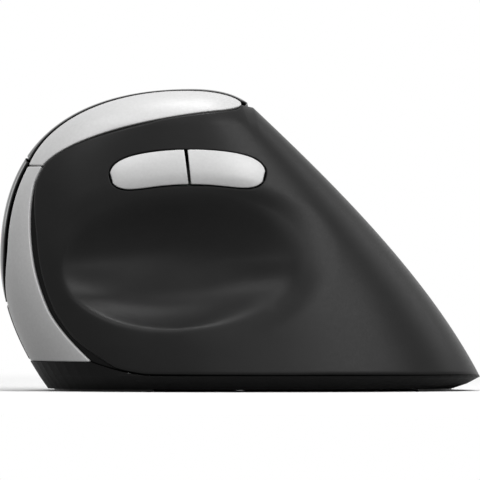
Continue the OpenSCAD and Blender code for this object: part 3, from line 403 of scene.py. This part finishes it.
def ribbon_film():
    """Polyester ribbon cable: grey film with darker conductors 1 mm apart across its width."""
    m, tree, shader, where = new_material("polyester_ribbon")
    lines = add(tree, "ShaderNodeTexWave", {"Vector": where, "Scale": per_metre(6.3), "Distortion": 0.0},
                bands_direction="Y")
    tone = add(tree, "ShaderNodeValToRGB", {"Fac": lines.outputs["Fac"]})
    for stop, place, code in zip(tone.color_ramp.elements, (0.35, 0.6), ("5d6066", "a9adb3")):
        stop.position, stop.color = place, colour(code)
    bump = add(tree, "ShaderNodeBump", {"Height": lines.outputs["Fac"], "Strength": 0.5,
                                        "Distance": 0.05 * MM})
    tree.links.new(tone.outputs["Color"], shader.inputs["Base Color"])
    tree.links.new(bump.outputs["Normal"], shader.inputs["Normal"])
    shader.inputs["Roughness"].default_value = 0.35
    return m


def cell_wrap():
    """AAA cell: a printed film sleeve in two plain tones between bare nickel ends."""
    m, tree, shader, where = new_material("shrink_film_sleeve")
    tilt = add(tree, "ShaderNodeMapping", {"Vector": where, "Rotation": (0, 0, -FINGER_YAW)})
    wave = add(tree, "ShaderNodeTexNoise", {"Vector": tilt.outputs["Vector"], "Scale": per_metre(0.8)})
    parts = add(tree, "ShaderNodeSeparateXYZ", {"Vector": tilt.outputs["Vector"]})
    tone = add(tree, "ShaderNodeValToRGB", {"Fac": add(tree, "ShaderNodeMapRange", {
        "Value": parts.outputs["X"], "From Min": -0.03, "From Max": 0.06}).outputs["Result"]})
    tone.color_ramp.interpolation = "CONSTANT"
    for stop, place, code in zip(tone.color_ramp.elements, (0.0, 0.6), ("2f3338", "b4783a")):
        stop.position, stop.color = place, colour(code)
    gloss = add(tree, "ShaderNodeMapRange", {"Value": wave.outputs["Fac"], "To Min": 0.2, "To Max": 0.34})
    bump = add(tree, "ShaderNodeBump", {"Height": wave.outputs["Fac"], "Strength": 0.4,
                                        "Distance": 0.01 * MM})
    tree.links.new(tone.outputs["Color"], shader.inputs["Base Color"])
    tree.links.new(gloss.outputs["Result"], shader.inputs["Roughness"])
    tree.links.new(bump.outputs["Normal"], shader.inputs["Normal"])
    return m


def clear_lens():
    """Moulded acrylic lens: clear, with a faint flow haze in its gloss."""
    m, tree, shader, where = new_material("clear_acrylic")
    haze = add(tree, "ShaderNodeTexNoise", {"Vector": where, "Scale": per_metre(2.0)})
    gloss = add(tree, "ShaderNodeMapRange", {"Value": haze.outputs["Fac"], "To Min": 0.03, "To Max": 0.12})
    tree.links.new(gloss.outputs["Result"], shader.inputs["Roughness"])
    shader.inputs["Base Color"].default_value = colour("f2f6f8")
    shader.inputs["Transmission Weight"].default_value = 1.0
    shader.inputs["IOR"].default_value = 1.49
    return m


finishes = {
    # Satin ABS from a spark-eroded mould: near black, a soft broad sheen and a grain that is felt more
    # than seen; the real grain of 0.05 mm is drawn at 0.5 mm so that it shows.
    "black_shell": moulded("satin_abs_spark_eroded", "131313", "171717", 0.36, 0.5, 0.005, specular=0.12),
    # High-gloss ABS from a polished mould: black with clear reflections and a slight orange peel 2.5 mm wide.
    "gloss_black": moulded("gloss_abs_polished", "0d0d0d", "111111", 0.14, 2.5, 0.01, specular=0.3,
                           spread=0.03),
    # Satin dark grey ABS round the wheel: a finer grain and a duller sheen than the shells.
    "bezel": moulded("dark_grey_abs", "272727", "2f2f2f", 0.5, 0.4, 0.006, specular=0.35),
    # Silver lacquer on ABS: mostly diffuse, with a fine metal flake that gives a soft highlight;
    # the real flake of 0.03 mm is drawn at 0.35 mm so that it shows.
    "silver": moulded("silver_lacquer_on_abs", "c2c2c2", "c8c8c8", 0.38, 0.35, 0.0015, patch_mm=0.7,
                      specular=0.3, metallic=0.05),
    # Textured ABS of the base: the dullest black, with a coarse eroded grain of 0.6 mm.
    "base_black": moulded("textured_abs_base", "080808", "0d0d0d", 0.5, 0.6, 0.012, specular=0.09),
    # Skived PTFE glide film, dyed black: waxy, with fine scuffs along the way that the mouse is pushed.
    "glide": moulded("black_ptfe_film", "131313", "1b1b1b", 0.4, 0.5, 0.004, specular=0.3, stretch=(1, 6, 1)),
    # Silicone rubber tyre: matt, dark grey, dusty in patches of 1.5 mm.
    "rubber": moulded("silicone_rubber", "161616", "242424", 0.72, 0.3, 0.008, patch_mm=1.5, specular=0.3),
    # Glass-filled nylon inside: dull black with pale streaks of fibre 1.2 mm long.
    "inner_black": moulded("glass_filled_nylon", "202124", "303236", 0.55, 0.4, 0.008, patch_mm=1.2,
                           stretch=(0.3, 1, 1)),
    # Rolled and plated spring steel: bright, with drawn lines 0.2 mm apart.
    "steel": moulded("nickel_plated_steel", "a9abae", "c2c4c7", 0.28, 0.2, 0.003, metallic=1.0,
                     stretch=(0.1, 1, 1)),
    # PBT switch housings: charcoal, satin, faint flow marks 2 mm wide.
    "switch": moulded("pbt_housing", "1b1c1e", "27292c", 0.42, 0.5, 0.006, patch_mm=2.0),
    # Acetal plungers: creamy white, waxy, tones drift over 1 mm.
    "plunger": moulded("white_acetal", "d8d4c6", "e6e2d6", 0.35, 0.4, 0.004, patch_mm=1.0),
    "board": circuit_board(),
    "clear": clear_lens(),
    "ribbon": ribbon_film(),
    "cell": cell_wrap(),
}
for row in frame["record"]["subparts"]:
    frame["nodes"][row["node"]].material_slots[0].material = finishes[row["material_slot"]]


# Thumb side.
def trim_in_x(z):
    """Inner edge of the front trim: a strip behind the front that widens toward the base."""
    return (x_front(z) + TRIM_W + 0.15 * np.maximum(0, 52 - z)
            + 3.3 * np.maximum(0, (20 - z) / 12.6) ** 1.5)


def trim_out_x(z):
    """Outer edge of the front trim, near the outline."""
    return x_front(z) + 0.2 + 1.6 * ease((z - 20) / 16)


top_in = [(float(trim_in_x(TRIM_SEAM_Z)), TRIM_SEAM_Z), (FRONT_X + 17.5, BODY_H - 12),
          (APEX_X - 9.3, BODY_H - 7), (APEX_X + 8.4, BODY_H - 5.3)]
top_in_nose = [top_in[3], (APEX_X + 10.6, BODY_H - 5.1), (APEX_X + 12.35, BODY_H - 4.9),
               (APEX_X + 12.4, BODY_H - 3.8)]
top_out = [(float(trim_out_x(TRIM_SEAM_Z)), TRIM_SEAM_Z), (FRONT_X + 12, BODY_H - 7),
           (APEX_X - 19, BODY_H + 0.1), (APEX_X, BODY_H - 0.45)]
top_out_nose = [top_out[3], (APEX_X + 7.6, BODY_H - 0.5), (APEX_X + 12.4, BODY_H - 2.5), top_in_nose[3]]
out_line = drawn(top_out, top_out_nose)


def out_z(x):
    """Height of the top trim's outer edge at x."""
    return np.interp(x, out_line[:, 0], out_line[:, 1])


def two_curves(first, second, u, bend=0.8):
    """One way along two cubic curves, the first up to the bend."""
    return np.where((u < bend)[..., None], bezier(first, np.clip(u / bend, 0, 1)),
                    bezier(second, np.clip((u - bend) / (1 - bend), 0, 1)))


def arch(x):
    """Middle line of the thumb buttons, an arc that falls toward both ends."""
    return PAIR_Z - (x - PAIR_X) ** 2 / (2 * PAIR_BEND) + 0.012 * (x - PAIR_X)


def beside_arch(x, h):
    """Point at height h square to the middle line: the line's own point plus h (t, 1) / |(t, 1)|,
    t the fall."""
    t = (x - PAIR_X) / PAIR_BEND - 0.012
    long = np.sqrt(1 + t * t)
    return x + h * t / long, arch(x) + h / long


def channel_x(z):
    """Front edge of the thumb shell: beside the band with a channel between, which widens at the foot;
    a dark strip of painted shade fills the channel.
    """
    return trim_in_x(z) + 1.3 * ease((53 - z) / 16) + 2.0 * np.maximum(0, (13 - z) / 5.3) ** 1.2


foot_x = np.linspace(-38, -28, 2001)
CORNER_X = float(foot_x[np.argmin(np.abs(channel_x(shell_foot(foot_x)) - foot_x))])


def shell_edge(n_low, n_back, n_top, n_front):
    """Outer edge of the thumb shell, seen from the side, and the angle round the slot for each point."""
    tail_foot = float(x_back(shell_foot(TAIL_X)))
    low = mix(CORNER_X, tail_foot, np.sin(np.pi / 2 * np.linspace(0, 1, n_low, False) ** 1.15))
    z_low = float(shell_foot(TAIL_X))
    back = mix(z_low, BODY_H - 4, np.linspace(0, 1, n_back, False))
    top = two_curves(top_in, top_in_nose, np.linspace(1, 0, n_top, False))
    front = mix(TRIM_SEAM_Z, float(shell_foot(CORNER_X)), np.linspace(0, 1, n_front, False))
    edge = np.concatenate([np.stack([low, shell_foot(low)], -1), np.stack([x_back(back), back], -1), top,
                           np.stack([channel_x(front), front], -1)])
    turns = np.concatenate([np.linspace(a, b, n, False) for a, b, n in
                            ((218, 345, n_low), (345, 392, n_back), (392, 515, n_top), (515, 578, n_front))])
    return edge, np.radians(turns)


def build_thumb_shell():
    """Rings that run straight from the button slot, a bent super-ellipse, out to the shell's edge."""
    roll = (0.25, 0.8)
    edge, turn = shell_edge(140, 90, 110, 90)
    x = PAIR_X + (PAIR_L / 2 + THUMB_GAP) * signed_power(np.cos(turn), 2 / END_POWER)
    h = (PAIR_H / 2 + THUMB_SLIT) * signed_power(np.sin(turn), 2 * SIDE_POWER)
    slot = np.stack(beside_arch(x, h), -1)
    lane = np.arange(len(edge), dtype=float)

    def surface(u, v):
        k = np.rint(u).astype(int)
        q = mix(slot[k], edge[k], v[..., None])
        return on_thumb(q[..., 0], q[..., 1])

    p = surface(lane[:, None], steps_of(surface, lane, np.linspace(0, 1, 104), roll))
    points, faces = shell(p, outward(p), WALL, roll, ring=True, side=-1, thin=6)
    piece("thumb_shell_skin", points, faces, "black_shell", "case", "thumb_shell")


def build_front_painted_shade_strip():
    """Dark strip sunk between the front band and the shell's edge, down to the rim of the base: painted
    shade, the base's dullest black put where the shell's rounded edge turns away into shade.
    """
    def surface(u, v):
        u, v = np.broadcast_arrays(u, v)
        end = mix(trim_in_x(TRIM_FOOT_Z + SEAM), CORNER_X, v)
        z = mix(52.0, shell_foot(end) - 0.2, u)
        p = on_thumb(mix(trim_in_x(z) - 0.1, channel_x(z) + 0.4, v), z)
        return p - SHADE_STRIP_DEPTH * outward(p)

    p = patch(surface, 160, 12, 0.1)
    n = slopes(p)
    n *= np.sign(-n[80, 6, 1])
    points, faces = shell(p, n, 0.8, 0.1)
    # Painted shade: the strip's dull base black stands for the shade along the shell's front edge.
    piece("front_painted_shade_strip", points, faces, "base_black", "case")


def build_trims():
    """Two strips between an inner and an outer line, each a seam clear of its neighbours."""
    def strip(inner, outer, v):
        wide = np.maximum(0.6, np.linalg.norm(outer - inner, axis=-1))
        g = np.minimum(0.3, SEAM / wide)
        q = mix(inner, outer, (g + (1 - 1.4 * g) * v)[..., None])
        return on_thumb(q[..., 0], q[..., 1])

    def top(u, v):
        u, v = np.broadcast_arrays(u * 0.985, v)
        return strip(two_curves(top_in, top_in_nose, u), two_curves(top_out, top_out_nose, u), v)

    def front(u, v):
        u, v = np.broadcast_arrays(u, v)
        z = mix(TRIM_SEAM_Z - SEAM, TRIM_FOOT_Z + 0.1, u)
        return strip(np.stack([trim_in_x(z), z], -1), np.stack([trim_out_x(z), z], -1), v)

    for name, surface, node in (("top_trim_band", top, "top_trim"), ("front_trim_band", front, "front_trim")):
        p = patch(surface, 240, 18, 0.25)
        points, faces = shell(p, outward(p), 1.5, 0.25, side=-1)
        piece(name, points, faces, "silver", "case", node)


def build_thumb_buttons():
    """Pillows over the slot: the thumb face lifted by lift + bulge (1 - q^2) (1 - p^6), q across, p along."""
    def lifted(x, q):
        along_pair = np.abs(x - PAIR_X) / (PAIR_L / 2)
        half = PAIR_H / 2 * np.maximum(0, 1 - along_pair ** END_POWER) ** SIDE_POWER
        lift = CAP_LIFT + CAP_BULGE * (1 - q * q) * (1 - along_pair ** 6)
        x, z = beside_arch(x, half * q)
        return np.stack([x, thumb_y(x, z) - lift, z], -1)

    roll = 0.25
    for name, node, body, end in (("forward_button_cap", "forward_button", "forward", -1),
                                  ("back_button_cap", "back_button", "back", 1)):
        def surface(u, v, end=end):
            q = 1 - 2 * v
            start = PAIR_X + end * 0.996 * PAIR_L / 2
            stop = PAIR_X + 0.05 - 0.45 * q + end * 0.38
            return lifted(mix(start, stop, np.sin(np.pi / 2 * u)), q)
        p = patch(surface, 90, 40, roll)
        n = slopes(p)
        n *= np.sign(-n[45, 20, 1])
        points, faces = shell(p, n, 1.6, roll)
        piece(name, points, faces, "silver", body, node)


# Finger side.
def split_z(x):
    """Line between the two click plates, falling to the rear."""
    return SPLIT_FRONT_Z - SPLIT_FALL * (x - APEX_X + 42)


def bezel_half(x):
    """Half height of the opening between the plates: a long super-ellipse."""
    return 5.6 * np.maximum(0, 1 - (np.abs(x - BEZEL_X) / BEZEL_A) ** 2.6) ** (1 / 2.2)


REAR_TOP = (APEX_X + 14.2, float(top_z(APEX_X + 14.2)))


def rear_x(z):
    """Rear edge of the click plates, a leaning line."""
    return mix(REAR_LOW[0], REAR_TOP[0], (z - REAR_LOW[1]) / (REAR_TOP[1] - REAR_LOW[1])) - CLICK_GAP / 2


def fore(t):
    """Way to the front that slows down where the plates curve most."""
    return np.sin(np.pi / 2 * t ** 0.9)


def split_point(t, side):
    """Edge of a click plate along the line between them, round the bezel's opening."""
    x = mix(rear_x(BODY_H - 25.4), x_front(SPLIT_FRONT_Z) + 0.25, fore(t))
    return x, split_z(x) + side * (CLICK_GAP / 2 + bezel_half(x))


def low_point(t):
    """Lower edge of the right click plate."""
    x = mix(rear_x(REAR_LOW[1]), x_front(LOW_FRONT_Z), fore(t))
    return x, mix(LOW_FRONT_Z, REAR_LOW[1], (x - FRONT_X) / (REAR_LOW[0] - FRONT_X))


def build_left_plate():
    """From the thin rim on the thumb side over the ridge to the line between the plates."""
    over = 0.12

    def surface(u, v):
        u, v = np.broadcast_arrays(u, v)
        t = fore(u)
        xr = mix(REAR_TOP[0] - CLICK_GAP / 2, x_front(SPLIT_FRONT_Z + 0.05), t)
        xe = mix(APEX_X + 12, trim_out_x(TRIM_SEAM_Z), t)
        zr, ze = top_z(xr) - 0.01, mix(out_z(xe), top_z(xe), 0.45)
        xs, zs = split_point(u, 1)
        a = np.clip(1 - v / over, 0, 1) ** 2
        b = np.clip((v - over) / (1 - over), 0, 1) ** 1.8
        near = on_thumb(mix(xr, xe, a), mix(zr, ze, a), 0)
        far = on_finger(mix(xr, xs, b), mix(zr, zs, b), 0)
        return np.where((v < over)[..., None], near, far)

    p = patch(surface, 200, 64, 0.22)
    points, faces = shell(p, outward(p), WALL, 0.22)
    piece("left_plate_skin", points, faces, "gloss_black", "left_click", "left_plate")


def build_right_plate():
    """From the rear line forward over the finger side, and round the front to the thumb side."""
    turn = 0.93

    def surface(u, v):
        u, v = np.broadcast_arrays(u, v)
        t = np.clip(u / turn, 0, 1)
        k = np.clip((u - turn) / (1 - turn), 0, 1)
        xa, za = split_point(t, -1)
        xb, zb = low_point(t)
        z = mix(za - 1.1 * k, zb, v)
        part = [(x - x_front(h)) / (rear_x(h) - x_front(h)) for x, h in ((xa, za), (xb, zb))]
        f = np.maximum(0, mix(part[0], part[1], v))
        far = on_finger(x_front(z) + 0.01 + f * (rear_x(z) - x_front(z)), z, 0)
        near = on_thumb(x_front(z) + 0.01 + k * k * 0.57 * (trim_out_x(z) - x_front(z)), z, 0)
        return np.where((u > turn)[..., None], near, far)

    p = patch(surface, 180, 64, 0.22)
    points, faces = shell(p, outward(p), WALL, 0.22)
    piece("right_plate_skin", points, faces, "gloss_black", "right_click", "right_plate")


def width_part(x, z):
    """Way of a point from the front of the outline to its back, 0 to 1."""
    return (x - x_front(z)) / (x_back(z) - x_front(z))


def build_palm_shell():
    """From the rear edge of the plates and the lower edge of the right one out to the tail and the base;
    the last part of the way laps round the front to the front band."""
    corner, lap = 0.45, 0.96
    top = REAR_TOP[1] - 1.2
    tail_foot = float(x_back(shell_foot(TAIL_X)))
    tip = float(x_front(TRIM_FOOT_Z + SEAM)) + 0.02

    def surface(u, v):
        u, v = np.broadcast_arrays(u, v)
        over = np.clip((u - lap) / (1 - lap), 0, 1)
        u = np.minimum(u / lap, 1)
        b = np.clip(u / corner, 0, 1)
        c = np.clip((u - corner) / (1 - corner), 0, 1)
        zi = mix(top, REAR_LOW[1] - CLICK_GAP, b)
        zo = mix(top, float(shell_foot(TAIL_X)), b ** 1.1)
        xl, zl = low_point(c)
        k = c * 21
        xo = np.where(k < 10, mix(tail_foot, RISE[1], np.clip(k / 10, 0, 1) ** 1.3),
                      np.where(k < 16, mix(RISE[1], RISE[0], (k - 10) / 6), mix(RISE[0], tip, (k - 16) / 5)))
        low = u > corner
        x_in = np.where(low, xl + CLICK_GAP * (1 - c), rear_x(zi) + CLICK_GAP)
        z_in = np.where(low, zl - CLICK_GAP - 0.6 * c, zi)
        x_out = np.where(low, xo, x_back(zo))
        z_out = np.where(low, shell_foot(xo) + np.where(xo < -20, 0.1, 0), zo)
        z = mix(z_in, z_out, v)
        part = np.maximum(0, mix(width_part(x_in, z_in), width_part(x_out, z_out), v))
        far = on_finger(mix(x_front(z), x_back(z), part), z)
        near = on_thumb(x_front(z) + over ** 2.2 * 1.1 * (trim_out_x(z) - x_front(z)), z, 0)
        return np.where((over > 0)[..., None], near, far)

    p = patch(surface, 220, 72, 0.35)
    points, faces = shell(p, outward(p), WALL, 0.35, side=1)
    piece("palm_shell_skin", points, faces, "black_shell", "case", "palm_shell")


def build_bezel_ends():
    """Rounded ends of the bezel: the finger face within h of the split line, h the half height of the
    opening less the gap, from start to stop of its half length."""
    start, stop = 0.74, 0.97
    for name, end in (("bezel_front_end", -1), ("bezel_rear_end", 1)):
        def surface(u, v, end=end):
            u, v = np.broadcast_arrays(u, v)
            k = mix(start, stop, np.sin(np.pi / 2 * u))
            x = BEZEL_X + end * k * BEZEL_A
            grow = mix(0.94, 0.975, ease((k - start) / 0.2))
            half = np.maximum(0.1, bezel_half(BEZEL_X + (x - BEZEL_X) / grow) - CLICK_GAP / 2)
            p = on_finger(x, split_z(x) + half * (1 - 2 * v), 0)
            return p + 0.04 * outward(p)
        p = patch(surface, 40, 24, 0.15)
        points, faces = shell(p, outward(p), WALL, 0.15)
        piece(name, points, faces, "bezel", "case")


def build_seam_tongue():
    """Tongue behind the seam of the two shells: the back of the outline moved in by 2.1 mm, 3.2 mm wide."""
    def surface(u, v):
        u, v = np.broadcast_arrays(u, v)
        z = mix(5.0, BODY_H - 5.5, u)
        slope = (x_back(z + 0.05) - x_back(z - 0.05)) / 0.1
        square = unit(np.stack([np.ones_like(z), 0 * z, -slope], -1))
        return np.stack([x_back(z), RIDGE_Y + 3.2 * (v - 0.5), z], -1) - 2.1 * square

    p = patch(surface, 120, 8, 0.2)
    n = slopes(p)
    n *= np.sign(n[60, 4, 0])
    points, faces = shell(p, n, 0.8, 0.2)
    piece("seam_tongue", points, faces, "black_shell", "case")


# Wheel, in a frame square to the finger face.
def from_finger(q):
    """Points of the finger frame in the part's frame: leaned, yawed and moved to the wheel's place."""
    lean = FINGER_TILT - math.pi / 2
    c, s = math.cos(lean), math.sin(lean)
    x, y, z = q[..., 0], q[..., 1] * c - q[..., 2] * s, q[..., 1] * s + q[..., 2] * c
    c, s = math.cos(FINGER_YAW), math.sin(FINGER_YAW)
    z0 = float(split_z(WHEEL_X))
    return np.stack([x * c - y * s, x * s + y * c, z], -1) + (WHEEL_X, float(finger_y(WHEEL_X, z0)), z0)


def build_tyre():
    """Ring whose section is a rounded bar; the tread is cut by 36 grooves, each a soft step of the angle."""
    ribs, half, corner, deep = 36, WHEEL_W / 2 - 0.3, 0.6, 0.55
    a = np.linspace(0, 2 * np.pi, ribs * 10, False)[:, None]
    t = np.linspace(0, np.pi / 2, 6)
    top = np.stack([half - corner + corner * np.sin(t), WHEEL_D / 2 - corner + corner * np.cos(t)], -1)
    flat = np.linspace(-1, 1, 9)[1:-1] * (half - corner)
    crown = np.stack([flat, np.full(7, WHEEL_D / 2)], -1)
    inside = WHEEL_D / 2 - TYRE_T
    section = np.concatenate([top[::-1] * (-1, 1), crown, top, [(half, inside), (-half, inside)]])
    tread = ease((section[:, 1] - inside) / TYRE_T * 1.4)
    cut = deep * ease((np.cos(ribs * a) - 0.1) / 0.6)
    r = section[:, 1] - cut * tread
    hub = WHEEL_OUT - WHEEL_D / 2
    y = np.broadcast_to(section[:, 0], r.shape)
    p = from_finger(np.stack([r * np.cos(a), y, r * np.sin(a) + hub], -1))
    ni, nj = r.shape
    i, j = np.meshgrid(np.arange(ni), np.arange(nj), indexing="ij")
    k, m = (i + 1) % ni, (j + 1) % nj
    faces = np.stack([i * nj + j, k * nj + j, k * nj + m, i * nj + m], -1).reshape(-1, 4)
    piece("ribbed_tyre", p.reshape(-1, 3), faces, "rubber", "wheel", "wheel_tyre")


def build_speed_button():
    """Domed pill: rings from the middle out to a stadium outline, a rolled edge, and a skirt below."""
    a = np.linspace(0, 2 * np.pi, 97)[:-1, None] + 0.001
    v = np.linspace(0, 1, 9)
    t = np.linspace(0, np.pi / 2, 6)[1:]
    roll, dome, top, foot = 0.45, 0.3, -0.4, -4.0
    size = np.concatenate([(2 - roll) * v, 2 - roll + roll * np.sin(t), [2.0, 0.0]])
    high = np.concatenate([top + dome * (1 - v * v), top - roll * (1 - np.cos(t)), [foot, foot]])
    x = SPEED_X + 1.5 * np.sign(np.cos(a)) * (size / 2) ** 0.3 + size * np.cos(a)
    p = from_finger(np.stack([x, size * np.sin(a), np.broadcast_to(high, x.shape)], -1))
    faces = grid_faces(*x.shape, True)
    button = piece("speed_button_cap", p.reshape(-1, 3), faces[:, ::-1], "bezel", "speed", "speed_button")
    weld = button.modifiers.new("closed_middle", "WELD")
    weld.merge_threshold = 0.001 * MM


build_thumb_shell()
build_front_painted_shade_strip()
build_trims()
build_thumb_buttons()
build_left_plate()
build_right_plate()
build_palm_shell()
build_bezel_ends()
build_seam_tongue()
build_tyre()
build_speed_button()


# Camera, light and floor.
def soft_box(name, place, aim, size, watts):
    """Square studio lamp at a place, turned to a point."""
    lamp = bpy.data.lights.new(name, "AREA")
    lamp.shape, lamp.size, lamp.energy = "SQUARE", size, watts
    obj = bpy.data.objects.new(name, lamp)
    bpy.context.scene.collection.objects.link(obj)
    d = np.array(aim, float) - np.array(place, float)
    obj.location = place
    obj.rotation_euler = (math.atan2(math.hypot(d[0], d[1]), -d[2]), 0, math.atan2(d[1], d[0]) - math.pi / 2)


# Studio lamps: turn from the camera toward the tail and height in degrees, distance and width in metres,
# and the share of full white that each alone gives a white card turned to it.
AMBIENT = 0.17
LAMPS = [("key_box", 42, 48, 0.95, 0.5, 0.56), ("top_box", 170, 85, 0.85, 0.2, 0.3),
         ("left_box", -48, 60, 0.95, 0.4, 0.25), ("front_box", 13, 33, 0.8, 0.4, 0.15),
         ("back_box", 112, 38, 0.95, 0.4, 0.12), ("rim_box", -128, 18, 0.9, 0.4, 0.12),
         ("side_box", -42, 45, 0.9, 0.2, 0.07)]


def build_stage():
    """Level side view of the thumb side, with the lamps of the table and white all around."""
    scene = bpy.context.scene
    lens = bpy.data.cameras.new("side_view")
    lens.lens, lens.sensor_width, lens.clip_start, lens.clip_end = 800, 36, 0.1, 20
    camera = bpy.data.objects.new("side_view", lens)
    camera.location = (0, -2.6692, 0.037625)
    camera.rotation_euler = (math.pi / 2, 0, 0)
    scene.collection.objects.link(camera)
    scene.camera = camera
    scene.view_settings.view_transform = "Standard"

    world = bpy.data.worlds.new("white_room")
    scene.world = world
    world.use_nodes = True
    tree = world.node_tree
    seen = add(tree, "ShaderNodeLightPath")
    first = add(tree, "ShaderNodeMath", {0: seen.outputs["Is Camera Ray"], 1: seen.outputs["Is Glossy Ray"]},
                operation="MAXIMUM")
    either = add(tree, "ShaderNodeMath", {0: first.outputs[0], 1: seen.outputs["Is Transmission Ray"]},
                 operation="MAXIMUM")
    level = add(tree, "ShaderNodeMapRange", {"Value": either.outputs[0], "To Min": AMBIENT, "To Max": 1.0})
    back = tree.nodes["Background"]
    back.inputs["Color"].default_value = (1, 1, 1, 1)
    tree.links.new(level.outputs["Result"], back.inputs["Strength"])

    for name, turn, height, far, size, level in LAMPS:
        a, b = math.radians(turn), math.radians(height)
        aim = np.array([0, 0, 0.035])
        place = aim + far * np.array([math.sin(a) * math.cos(b), -math.cos(a) * math.cos(b), math.sin(b)])
        soft_box(name, place, aim, size, level * 9.87 * far ** 2)

    a = np.linspace(0, 2 * np.pi, 97)[:-1]
    rings = np.array([0.001, 0.1, 0.2, 0.3, 0.42])
    flat = np.stack([np.outer(rings, np.cos(a)), np.outer(rings, np.sin(a)), np.zeros((5, 96))], -1)
    faces = grid_faces(96, 5, True)
    mesh = bpy.data.meshes.new("floor")
    mesh.from_pydata(flat.swapaxes(0, 1).reshape(-1, 3).tolist(), [], faces[:, ::-1].tolist())
    floor = bpy.data.objects.new("floor", mesh)
    scene.collection.objects.link(floor)
    m, tree, shader, where = new_material("white_paper_floor")
    fade = add(tree, "ShaderNodeMapRange", {
        "Value": add(tree, "ShaderNodeVectorMath", {0: where}, operation="LENGTH").outputs["Value"],
        "From Min": 0.1, "From Max": 0.38}, interpolation_type="SMOOTHSTEP")
    seen = add(tree, "ShaderNodeLightPath")
    first = add(tree, "ShaderNodeMath", {0: seen.outputs["Is Camera Ray"], 1: seen.outputs["Is Glossy Ray"]},
                operation="MAXIMUM")
    either = add(tree, "ShaderNodeMath", {0: first.outputs[0], 1: seen.outputs["Is Transmission Ray"]},
                 operation="MAXIMUM")
    part = add(tree, "ShaderNodeMath", {0: fade.outputs["Result"], 1: either.outputs[0]}, operation="MULTIPLY")
    glow = add(tree, "ShaderNodeEmission", {"Color": (1, 1, 1, 1), "Strength": 1.0})
    blend = add(tree, "ShaderNodeMixShader", {0: part.outputs[0], 1: shader.outputs[0], 2: glow.outputs[0]})
    tree.links.new(blend.outputs[0], tree.nodes["Material Output"].inputs["Surface"])
    grey = add(tree, "ShaderNodeMapRange", {"Value": either.outputs[0], "To Min": 0.15, "To Max": 0.84})
    tree.links.new(grey.outputs["Result"], shader.inputs["Base Color"])
    shader.inputs["Roughness"].default_value = 0.9
    shader.inputs["Specular IOR Level"].default_value = 0.1
    mesh.materials.append(m)


build_stage()
